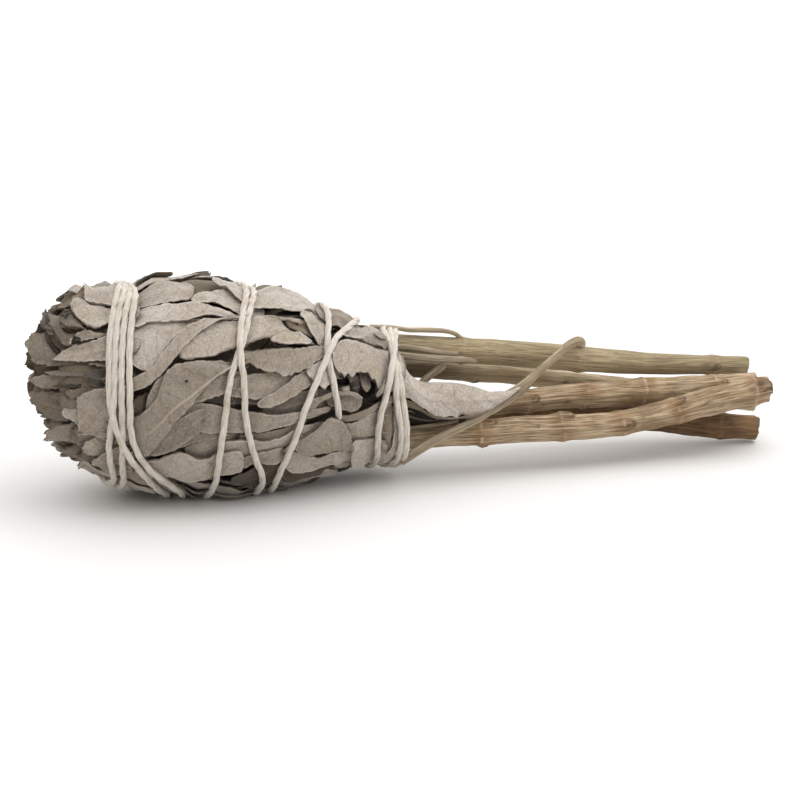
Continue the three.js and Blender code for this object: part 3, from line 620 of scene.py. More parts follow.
def ruled_leaf(part, base, tip, half, lift, cell, blunt=False, bow=0, share=1, **traits):
    s = np.linspace(0, 1, 11)
    at = lerp(base[0], tip[0], s)
    turn = lerp(base[1], tip[1], s) + bow * np.sin(np.pi * s)
    radius = np.maximum(head_radius(at) * share, LEAST_RADIUS)
    step_at = np.gradient(at)
    step_round = np.gradient(turn) * np.radians(radius)
    way = np.hypot(step_at, step_round)
    width = half * np.interp(s, np.linspace(0, 1, 5), BLUNT if blunt else POINTED)
    aside = -step_round / way * width
    round_by = np.degrees(step_at / way * width / radius)
    one = np.stack([at - aside, turn - round_by], -1)
    two = np.stack([at + aside, turn + round_by], -1)
    rows = int(np.clip(way.sum() / cell, 12, 40))
    columns = int(np.clip(2 * half / cell, 7, 16))
    return dict(part=part, one=one, two=two, lift=lift, rows=rows, columns=columns, share=share, **traits)


example = ruled_leaf("back", (60, 180), (40, 180), 5, 0, 0.75)
print("a ruled leaf of 20 by 10 mm has", example["rows"], "by", example["columns"], "points")

# %% [markdown]
# A deep layer goes all round, brown and set dark as painted shade, and shows only in the
# gaps. It lies lower where the photograph's leaves come on top of it. Two layers of paler
# leaves then cover the back, each row a little further towards the tip, as roof tiles lie. A
# row is its distance from the tip, its number of leaves, their length, half their width and
# their lift.

# %% Leaves laid by rule
DEEP_ROWS = [
    (75, 10, 26, 4.6, -3.3), (68, 13, 28, 5, -3), (58, 14, 28, 5.4, -3), (46, 14, 28, 5.4, -3),
    (34, 14, 27, 5, -2.9), (25, 13, 21, 4.2, -2.6),
]
BACK_ROWS = [
    (75, 7, 26, 4, -2.1), (67, 8, 28, 4.8, -1.6), (58, 8, 30, 5, -1.3), (48, 8, 30, 5.2, -1.1),
    (38, 8, 28, 5, -1), (29, 9, 25, 4.6, -0.9), (73, 7, 26, 4.2, -1.1), (63, 8, 30, 4.6, -0.5),
    (52, 8, 32, 5, -0.3), (43, 8, 31, 5, -0.2), (33, 8, 27, 4.8, -0.1), (25, 9, 21, 4, 0),
]
LAST_BASE = 75.2
TIP_ROOM = 7
BACK_FROM = 96
BACK_TO = 304
FRONT_MIDDLE = 20
FRONT_FROM = 26
UNDER_SHOWN = 2.6


def tip_cut(turn):
    upward = np.sin(np.radians(turn))
    return 5 * ramp(0.35, 1, -upward) + 1.5 * ramp(0.5, 1, upward)


seed = 0
for at, count, reach, half, lift in DEEP_ROWS:
    for i in range(count):
        seed += 1
        turn = 360 * (i + 0.5 + vary(seed, 1, 0.4)) / count
        start = min(at + vary(seed, 2, 4), NECK_AT)
        end = max(start - reach * (1 + vary(seed, 3, 0.25)), TIP_ROOM + vary(seed, 9, 2))
        in_front = at > FRONT_FROM and math.cos(math.radians(turn - FRONT_MIDDLE)) > 0.3
        # painted shade: the deep leaves are given a dark tone for the shade in the gaps where they show, on
        # top of their brown
        leaf = ruled_leaf(
            "deep", (min(start, LAST_BASE), turn), (end + tip_cut(turn), turn + vary(seed, 4, 26)),
            half * (1 + vary(seed, 5, 0.3)), lift + vary(seed, 6, 0.5) - in_front * UNDER_SHOWN,
            cell=1.1, blunt=draw(seed, 8) > 0.6, bow=vary(seed, 7, 10), tint=-0.45,
            bark=0.35 * draw(seed, 9), crumpled=1.3, brown=0.5)
        lay(leaf, seed)
for at, count, reach, half, lift in BACK_ROWS:
    for i in range(count):
        seed += 1
        turn = lerp(BACK_FROM, BACK_TO, (i + 0.5 + vary(seed, 1, 0.45)) / count)
        start = min(at + vary(seed, 2, 4), LAST_BASE)
        end = max(start - reach * (1 + vary(seed, 3, 0.3)), TIP_ROOM + vary(seed, 9, 3)) + tip_cut(turn)
        near_top = 1.5 * ramp(135, BACK_FROM, turn)
        rim = ramp(135, 100, turn) * ramp(20, 12, end)
        leaf = ruled_leaf(
            "back", (start, turn), (end, turn + vary(seed, 4, 34)),
            half * (1 + vary(seed, 5, 0.32)), lift + vary(seed, 6, 0.4) - near_top,
            cell=0.75, blunt=draw(seed, 8) > 0.6, bow=vary(seed, 7, 14),
            torn_two=0.8 * (draw(seed, 10) > 0.8), crumpled=1.1 + vary(seed, 11, 0.3),
            fold=0.5 * max(0, vary(seed, 12, 1)), fold_at=vary(seed, 13, 0.6),
            lift_one=0.2 + vary(seed, 14, 0.25), lift_two=0.2 + vary(seed, 15, 0.25),
            brown=0.2 + 0.5 * draw(seed, 16) ** 2, bark=0.6 * rim,
            tint=0.5 + vary(seed, 17, 0.3) - 0.8 * rim)
        lay(leaf, seed)
print("leaves by rule:", len(laid))

# %% [markdown]
# The leaves that the photograph shows one by one come last, in the order in which they lie
# over each other. Each has the lift of its middle above the head's form, its tint
# from dark to pale, and its two edges from base to tip: `at`, `turn`, then the next `at`,
# `turn` and so on. Their names say what they look like. The tone value is partly each
# leaf's own tone and partly painted light and shade: leaves facing up are set paler, leaves
# low on the front and in gaps darker, and the darkest pieces are thin sheets of painted
# shade laid into hollows and gaps.

# %% The leaves on the shown side
SHOWN = {
    "dark_band": (-1.6, -0.25, [50.6, 18, 40.2, 18, 33.3, 18, 28.6, 14],
        [51, 4, 40.6, 5, 35.1, 4, 29.8, 5]),
    "hollow_leaf": (-1, 0.4, [50.4, 26, 44.1, 23, 39.7, 21, 35.8, 18],
        [50.4, 17, 47.5, 17, 44.7, 11, 41.5, 8, 35.9, 9]),
    "shade_leaf": (-1.4, -0.3, [58.2, 17, 51.7, 15, 47.6, 10, 43, 4],
        [58.7, 0, 51.7, 0, 47.9, -1, 43.1, 0]),
    "slanting_leaf": (-0.6, 0.2, [56.9, 34, 51.3, 27, 47.7, 18, 45.1, 13, 41.4, 8],
        [56.8, 24, 52.9, 17, 50.4, 13, 47.4, 8, 44.8, 5, 41.6, 4]),
    "brown_patch": (-1.2, 0.6, [40.2, -10, 35, -13, 31.7, -16, 28.8, -23],
        [41, -23, 36, -27, 33.2, -30, 29.9, -29]),
    "brown_strip": (-0.9, 0.4, [52.7, -2, 48.1, -7, 43.5, -10, 38.9, -12],
        [53, -7, 49.4, -11, 45.1, -15, 39.5, -16]),
    "pale_wedge": (-0.7, 0.1, [38.9, -6, 34, -8, 30.8, -8, 27.1, -19],
        [39.1, -11, 35, -14, 31.6, -16, 29, -20, 26.3, -24]),
    "long_leaf": (-0.3, 0.15, [57.5, 6, 50.7, 2, 45.5, 1, 40.7, 2, 34.8, 4, 30.5, 5, 27.3, 1],
        [57.7, 1, 50.9, -4, 47.9, -6, 43.9, -9, 39, -10, 34.1, -11, 30.8, -10, 28.7, -8, 26.8, -5]),
    "lower_middle": (-0.5, 0.65, [58.1, -6, 51.2, -7, 47.3, -12, 43.7, -14, 40.3, -14, 35.5, -16],
        [58.7, -16, 51.8, -16, 48.9, -21, 46.1, -24, 42.1, -25, 36.5, -25]),
    "belly_olive": (-0.4, -0.75, [65.1, -32, 58.2, -31, 52.6, -28, 48.3, -26, 43.7, -33, 38.9, -40],
        [66.8, -54, 60.6, -48, 55.1, -56, 49, -57, 41.6, -53]),
    "belly_middle": (-0.3, 0.3, [48.6, -18, 44.1, -21, 41.9, -23, 39.1, -26, 36.1, -28],
        [49.6, -30, 43.6, -31, 40.4, -34, 36.7, -39]),
    "belly_leaf": (-0.2, 0.6, [40, -16, 35.2, -24, 32.8, -26, 31.1, -26, 29.6, -23, 27.7, -23, 25.8, -26,
        23, -32, 20.9, -39],
        [41.7, -37, 36.5, -42, 31.9, -46, 27.2, -48, 24.1, -46, 20.7, -47]),
    "under_big": (0, 0.1, [31.4, 4, 27.8, -2, 24.4, -10, 21.5, -22],
        [31.5, -7, 29.9, -13, 28, -18, 25.9, -24, 22.5, -30]),
    "neck_side": (-0.5, 0.55, [73, 5, 70, 4, 66.3, -1, 62.1, -7, 58.3, -10],
        [76.3, -56, 73, -58, 69.7, -57, 65.3, -54, 61.1, -48]),
    "below_round": (-0.1, 0.6, [49, -23, 52.3, -25, 57, -31, 61.1, -28, 64.9, -29, 66.7, -34],
        [50.3, -38, 53.8, -42, 57.1, -44, 60.3, -44, 63.9, -44, 68.1, -52]),
    # painted shade: a leaf set dark for the gap under the shoulder leaf
    "under_shoulder": (-1, -0.8, [60.4, 90, 55.3, 86, 49.8, 71, 46.4, 63],
        [57.7, 58, 53.2, 56, 48.8, 53, 45.8, 53]),
    "nook_leaf": (-1.2, -0.1, [21.3, 8.9, 19.4, 5.7, 18.2, 2.5],
        [21.1, -6.6, 19.6, -9.6, 18.8, -11.8]),
    "neck_under": (-0.3, 0.9, [62.8, -20, 66.3, -22, 69.6, -24, 75, -25],
        [65.6, -57, 69.6, -68, 73.1, -73, 76.6, -74]),
    "brown_rod_a": (0, 1, [54.1, 63, 51.4, 60, 47.3, 56, 44.4, 55],
        [53.8, 57, 51.1, 55, 47.8, 54, 44.7, 53]),
    "brown_rod_b": (-0.3, 0.4, [54.2, 56, 50.6, 54, 47.6, 54],
        [53.9, 49, 50.8, 49, 48.1, 51]),
    "upper_smooth": (-0.1, 0.95, [44.8, 72, 39.6, 73, 35.9, 72, 32.4, 69, 29.1, 64],
        [43.8, 56, 40.5, 55, 38.2, 57, 33.8, 60, 29.5, 60]),
    "rolled_edge_leaf": (0, 0.9, [54.1, 45.6, 52.3, 46.6, 50.7, 48.1, 48.4, 49.7, 46.7, 53.7, 43, 56,
        38.3, 52, 32.8, 48, 29.1, 40, 25.8, 31],
        [53.9, 44.3, 51.1, 43, 47.6, 43.2, 42.3, 40, 39.8, 37, 36.8, 34, 32.9, 29, 29, 27, 26.3, 26]),
    "fan_leaf": (0.1, 0.8, [57.8, 57.6, 56.7, 61.6, 55.6, 66.2, 54.3, 70.8, 53, 69.7],
        [56.6, 44.9, 54.2, 44.4, 53.5, 47.7, 52.3, 51.5, 51.7, 56.8, 51.2, 63.6]),
    "shoulder_leaf": (0.2, 0.85, [61.1, 96, 58.2, 96, 54, 97, 47.9, 87, 42.3, 82, 38.4, 84, 34.6, 86],
        [58.8, 65, 56.2, 66, 54.4, 70, 51.5, 67, 48, 62, 44.9, 61, 41.3, 61, 39, 66, 36.2, 71, 34.2, 76]),
    "left_middle": (-0.2, 0.8, [31.3, 53, 23.8, 51, 19.1, 50, 15.7, 45, 14.9, 35, 16.3, 27],
        [31.2, 50, 27.5, 44, 24.6, 36, 22.3, 27, 20.5, 19, 18.3, 21]),
    "upper_band": (0.3, 1, [41.2, 56, 38, 56, 33.6, 58, 29.8, 60, 23.1, 60, 18.7, 62, 14.8, 66],
        [41.1, 53, 37.3, 52, 34.3, 52, 31.3, 52, 29.8, 50, 27.3, 48, 20.8, 47, 18, 46, 14.2, 45]),
    "top_leaf": (0.4, 0.55, [31.2, 82, 29.4, 84, 25.3, 82, 22.4, 80, 19.2, 78, 15.5, 81],
        [30.1, 66, 28.6, 63, 25.4, 61, 22.2, 60, 18.7, 61, 14.6, 61]),
    "folded_strip": (0.3, 0.45, [40, 54, 35.9, 52, 31.3, 50, 27.9, 46, 25.2, 38, 22.9, 30, 21.5, 24, 20, 20,
        17.5, 16, 14.2, 11],
        [40.3, 52, 37.2, 51, 34.6, 49, 32.1, 45, 29, 38, 26.5, 31, 24.2, 23, 22.4, 17, 20.7, 12, 18.3, 8,
        14.5, 2]),
    "curled_scrap": (0.6, 0.8, [53.3, 47, 50.5, 48, 48.4, 47, 46.2, 45, 44, 41],
        [53.2, 43, 50.3, 40, 47.7, 38, 45.6, 38, 43.6, 38]),
    "torn_under": (-0.1, 1, [61, 44, 56.8, 38, 54, 32, 51.6, 28],
        [60.7, 26, 57.6, 20, 56.1, 16, 54.8, 15, 53.4, 18, 51.6, 24]),
    "torn_leaf": (0.2, 0.3, [61.3, 54, 56.9, 46, 54.6, 43, 52.4, 41, 50.2, 38, 46.9, 36, 42.8, 34, 38.7, 32,
        36.9, 31],
        [60.8, 42, 56.7, 38, 54.8, 34, 53.3, 30, 52.1, 26, 50, 24, 48.5, 22, 46.9, 20, 44.8, 21, 42.1, 23,
        40.1, 24, 38.7, 28, 37.7, 31]),
    "big_under": (0.1, 0.25, [38.1, 24, 32.8, 24, 28, 24, 25.2, 22, 23, 18, 21.3, 13, 20.5, 7, 20.3, -1],
        [38.3, 14, 33.1, 8, 28.5, 3, 24.9, 0, 22.5, -2, 21, -3]),
    "big_leaf": (0.4, 0.25, [40.4, 28, 36.1, 26, 32.8, 27, 28, 26, 25.1, 24, 23.5, 20, 22.7, 13, 22.3, 7,
        20.4, -1, 18.3, -8, 16.1, -19],
        [40.4, 27, 36.1, 23, 34.2, 20, 31, 12, 28.5, 2, 26, -7, 23.9, -19, 22.8, -26, 21.6, -32, 18.8, -38]),
    "speck": (0.6, -0.85, [27.8, 16, 27.4, 16.2, 27.1, 15.7],
        [27.7, 15, 27.4, 14.6, 27.2, 15]),
    # painted shade: a dark sheet for the shade in the cavity at the neck
    "cavity_shade_sheet": (-2.8, -0.75, [58, 24.7, 60.7, 25.9, 63.5, 27.1, 66.3, 28.5, 68, 25.6],
        [58.8, 14.6, 60.8, 12.9, 63.7, 10, 65.7, 10.3, 67.7, 16.5]),
    "cavity_tip_a": (-1.8, 0.45, [61.3, 33, 61.5, 25, 61.7, 19, 62, 15],
        [63.6, 34, 63.5, 26, 63.1, 19, 62.5, 15]),
    "cavity_tip_b": (-1.8, 0.4, [64, 36, 63.9, 26, 64.4, 20, 65.1, 16],
        [66.7, 38, 66.4, 28, 66.1, 20, 65.5, 16]),
    # painted shade: a dark block for the shade deeper in that cavity
    "cavity_shade_block": (-3.4, -0.7, [63.8, 27, 60.9, 20, 58.7, 20],
        [63.9, 13, 60.8, 13, 59.2, 14]),
    "cavity_shard": (-1.2, 0.85, [58.6, 17, 60.1, 18.9, 61.3, 20.2],
        [59.3, 14.2, 60.5, 14.5, 61.6, 15.3]),
    "loop_lobe": (-0.5, 0.2, [56.5, 13, 59.5, 14, 62.5, 14, 64.1, 10],
        [56.6, 6, 59.4, 3, 61.7, 1, 63.6, 4]),
    "loop_band": (-0.2, 0, [51.1, 7, 54.2, 11, 57.9, 15, 61.7, 16, 64, 12],
        [53, 1, 54.7, 8, 58, 12, 61.3, 13, 62.9, 10]),
    "petiole": (0, 0.2, [72.6, 20, 69.7, 12, 66.9, 7, 63.8, 2, 60.6, -1, 58, -2],
        [73.1, 14, 70.2, 7, 67.5, 2, 64.4, -3, 61.4, -6, 58.2, -7]),
    "round_leaf": (0.6, 0.35, [48.3, -21, 50.1, -17, 51.4, -14, 52.9, -11, 54.4, -8, 55.7, -3, 57, 1,
        58.7, -1, 60.6, -5, 62.4, -13, 63.7, -23],
        [48.4, -22, 51, -23, 54.6, -28, 57.2, -28, 59.9, -27, 62.1, -28, 63.6, -28]),
    "olive_edge": (0.2, 0.4, [66.4, 81, 65.8, 97, 64.2, 97, 62.4, 96, 60.2, 96, 57.3, 96],
        [65.8, 71, 62.5, 67, 60, 64, 57.7, 62, 54.6, 61]),
    "neck_top": (0.1, 0.6, [74.1, 86, 70.2, 85, 66.5, 78, 62.1, 68],
        [72.7, 62, 69.7, 58, 67.7, 57, 65.5, 59, 62.3, 56, 59, 52]),
    "domed_leaf": (0.3, 0.75, [74.1, 57, 71, 55, 68.3, 53, 66.2, 55, 63.3, 55, 60, 51, 58.2, 46, 56.9, 40],
        [73.4, 18, 70.4, 16, 67.7, 18, 66.4, 24, 65, 27, 62.5, 26, 61, 26, 59.4, 22, 58.1, 26, 57, 33]),
    "neck_curl": (0.5, 0.3, [71, 65, 68.6, 68, 66.1, 63, 63.9, 56],
        [70.1, 55, 68.2, 52, 66.6, 55, 64.8, 55]),
    "curl_hollow": (0.5, 0.2, [70.3, 64.9, 69.3, 70.1, 67.6, 68.2],
        [69.7, 58.2, 68.3, 58, 67.3, 61.6]),
    "tail_strip": (0.2, 0, [71.1, 51, 69.6, 34, 68.4, 23, 66.5, 14],
        [72.1, 50, 70.9, 33, 69.7, 22, 67.6, 12]),
    "between_strands": (0.1, 0.15, [68.8, 12, 68.2, 2, 68.6, -9, 69.8, -20, 71.5, -29],
        [70.8, 11, 70.8, 2, 71.2, -9, 71.7, -19, 71.9, -30]),
    "beside_strand": (0, 0.4, [71.2, 13, 71.3, -1, 72, -16, 72.2, -30, 71, -38],
        [73.1, 12, 73.4, -1, 74.1, -16, 74.7, -33, 73.9, -45]),
    "left_end": (-0.7, 0, [12.6, 42, 6.7, 48, 3.3, 53, 1.3, 59, -0.9, 64],
        [12.5, 24, 6.6, 24, 3.2, 23, 1.1, 24, -1, 33]),
    # painted shade: a dark sheet for the shade beside the horn leaf at the tip's end
    "end_shade_sheet": (-0.2, -0.8, [5.1, 35.8, 3.9, 42.7, 2.5, 52.2, 2, 54.7],
        [4.6, 30.2, 3.2, 36.2, 2.4, 44.2, 2, 51.4]),
    "top_rim": (0.4, -0.5, [16.5, 92, 13.3, 96, 12.2, 103, 10.6, 99],
        [16.2, 80, 12.8, 86, 11.5, 89, 10.2, 90]),
    "rim_strip_b": (0.3, -0.1, [14, 92, 9.8, 92, 8.7, 89, 7.6, 85],
        [14, 81, 9.8, 80, 9, 80, 7.7, 80]),
    "rim_strip_a": (0.3, -0.3, [12.5, 80, 7, 79, 5.3, 77, 4.2, 74],
        [12.6, 72, 7.2, 71, 5.7, 69, 4.3, 70]),
    "horn_leaf": (0.3, 0, [15.5, 36, 10, 37.5, 6.9, 37, 5.1, 37, 3.9, 43, 3, 53, 2.3, 66, 2, 76],
        [15.5, 43.5, 10.1, 44.5, 8.4, 50, 6.9, 60, 5.7, 67, 4.4, 72, 3.1, 76, 2.3, 78]),
    "horn_back": (0.1, -0.4, [5, 38.5, 3.6, 48.8, 2.9, 57.3, 2.6, 67.1, 2.4, 74.3],
        [5, 36.5, 3.9, 43, 2.5, 52.7, 1.6, 62, 1.7, 70.8]),
    # painted shade: a dark sheet for the shade inside the horn leaf
    "horn_shade_sheet": (0.2, -0.7, [3, 59, 2.8, 63.8, 2.6, 68.1, 2.3, 70.6],
        [2.9, 57.7, 2.4, 61.3, 2.1, 64.6, 2, 68.6]),
    "roll_shadow": (0.3, -0.75, [10.2, 46.8, 8.2, 48.6, 6.6, 50.7, 5, 54.1],
        [10.2, 46, 8.2, 47.2, 6.5, 48.2, 5.2, 51.6]),
    "inner_roll": (0.8, -0.35, [9.9, 45.8, 8.6, 52.4, 7.3, 58.2, 6.5, 62.4, 6.1, 63.7],
        [10, 45.2, 8.1, 47.6, 6.7, 49.6, 5.5, 52.1, 4.2, 57.9]),
    # painted shade: a dark sheet for the shade inside the inner roll
    "roll_shade_sheet": (0.9, -0.75, [6.4, 62.7, 6.1, 66.3, 5.4, 67.3, 4.8, 64.9],
        [6.2, 58.6, 5.9, 56.9, 5.3, 58.4, 4.8, 61.7]),
    "brow_leaf": (0.3, 0.85, [19.8, 67, 14.9, 68.3, 13.1, 71, 11.4, 72.2, 9.3, 73.9, 7.8, 74.1, 6.9, 72.1],
        [19.2, 49, 14.3, 51.6, 13.1, 50.1, 12.3, 47.8, 11.3, 47.2, 10.3, 48.3, 9.1, 52, 8, 58, 7.3, 64.5,
        6.9, 70.4]),
    "top_left": (0.1, 0.75, [20.8, 84, 16, 88.5, 14.5, 90.4, 12.7, 90.2, 11.5, 91.4, 10.6, 95.3],
        [19.8, 62, 14.8, 65.1, 13, 69.1, 11.7, 69.3, 10.9, 70.8, 10.2, 74.5, 9.7, 79.5]),
    "blunt_small": (0.1, 0.1, [15.7, 46, 13.3, 45.6, 11.4, 45.5, 10.2, 46.6, 9, 47.2, 8, 47, 7, 45.5],
        [15.6, 39, 13.2, 39.9, 11.2, 40.4, 10.1, 39.2, 9.1, 38.4, 8.2, 38.3, 7.5, 39.6]),
    # painted shade: a dark sheet for the shade in the hollow of the blunt leaf
    "blunt_shade_sheet": (0.3, -0.7, [8.2, 40.8, 7.6, 43, 7, 44.6],
        [8.2, 38.1, 7.5, 38.4, 6.8, 38.9]),
    "pale_lip": (0.5, 0.9, [5.9, 38.2, 6.3, 41.1, 6.6, 44.6],
        [6.6, 37.7, 6.8, 40.7, 6.9, 44.1]),
    "dark_nub": (-1.3, -0.8, [12.6, 23, 6.7, 24, 3.3, 24, 1.9, 24, 0.8, 21],
        [12.7, 16, 6.8, 15, 3.4, 13, 2, 12, 0.8, 15]),
    "ridge_nub": (-1.2, 0, [12.7, 18, 6.7, 17, 3.3, 16, 1.3, 15, -0.6, 13],
        [12.8, 7, 6.9, 4, 3.5, 3, 1.4, 3, -0.5, 6]),
    "low_nub": (-1.2, -0.1, [12.8, 7, 6.9, 4, 3.5, 2, 1.5, 0, -0.2, -3],
        [13.4, -11, 7.6, -19, 4.2, -24, 2.4, -22, -0.2, -14]),
    "wide_low_nub": (-0.8, 0.05, [14.7, -10, 9.2, -16, 5.9, -22, 4.3, -28, 3.3, -35],
        [15.5, -25, 10, -34, 7.6, -40, 5.3, -51, 3.9, -51]),
    "corner_nub": (-0.6, -0.3, [15.3, -23, 11.5, -28, 9.2, -35, 7.9, -43, 7.2, -51],
        [16.2, -38, 12.5, -45, 10.1, -52, 8.6, -57, 7.6, -59]),
    "shade_piece": (-0.3, -0.35, [14.8, -12, 10.9, -16, 8.7, -21, 7.4, -26],
        [15.6, -28, 11.9, -34, 10.1, -36, 8.2, -35]),
    "ridge_a": (-0.6, -0.2, [16.2, 33, 9, 30, 3.6, 27, 1.4, 24],
        [16.4, 28, 9.2, 24, 3.8, 22, 1.7, 21]),
    "ridge_b": (-0.5, -0.5, [16.4, 26, 9.4, 22, 3.9, 19, 1.9, 18],
        [16.6, 20, 9.6, 15, 4.2, 14, 2.4, 15]),
    "ridge_c": (-0.6, -0.75, [16.8, 14, 9.8, 11, 5, 9, 3, 8],
        [17, 9, 10, 6, 5.2, 6, 3.3, 6]),
    "brown_point": (-0.4, 0.5, [11.6, 7, 7.6, 5, 5.1, 3, 3.1, -1],
        [11.9, -3, 7.9, -5, 5.7, -6, 3.3, -4]),
    "brown_point_b": (-0.2, 0.4, [12.6, 10, 8.4, 8, 5.5, 5],
        [12.7, 4, 8.9, 2, 7.4, -2, 6, 1]),
    "ragged_piece": (-0.2, -0.6, [16.7, 23, 13.1, 22, 10.8, 21, 9.3, 20, 8.6, 18],
        [16.9, 7, 13.3, 7, 11.6, 7, 10.1, 10, 8.6, 14]),
    "bottom_nub": (-0.3, -0.3, [18.2, -22, 14.2, -27, 11.8, -33, 10.4, -42, 9.8, -47],
        [19.4, -40, 15.4, -45, 13.2, -49, 11.6, -55, 10.2, -54]),
    "bottom_brown": (-0.1, 0.75, [17.9, -16, 13.9, -21, 11.7, -25, 10.3, -29],
        [18.9, -33, 14.9, -38, 12.6, -41, 10.4, -38]),
    "bottom_last": (0, 0.3, [19.5, -25, 16.2, -29, 13.8, -36, 12.6, -44],
        [20.6, -41, 17.3, -45, 15.3, -47, 13.2, -50]),
    "notch_leaf": (0, 0.45, [12.7, 2, 9.4, 1, 7.2, -2, 6.1, -5, 5.5, -10],
        [13.5, -17, 10.2, -20, 8.7, -19, 7, -16, 5.7, -14]),
    "square_leaf": (0.3, 0.3, [17.8, 12, 13.2, 10, 10.9, 8, 9.2, 6, 7.6, 2],
        [19.2, -21, 14.5, -24, 13, -23, 11.3, -24, 8.9, -27]),
    "pointed_leaf": (0.4, 0.5, [16.6, 41, 13.1, 43, 11.3, 40, 9.9, 38, 8.4, 37, 6.4, 37, 5, 34, 4, 30,
        3, 27],
        [16.5, 24, 13, 25, 9.8, 25, 6.4, 25, 4.1, 25, 3, 26]),
}
print("leaves laid one by one:", len(SHOWN))

# %% [markdown]
# Dried leaves differ. Some are torn, some have a brown or olive rim, a few are little more
# than a rolled brown rod. What makes one leaf unlike the rest is listed here by its name,
# and what isn't listed stays as on the plain leaf. All the tip's leaves are more crumpled,
# chipped and scalloped, and paler towards their ends and darker towards their bases, which
# is painted shade for the depth of the tip.

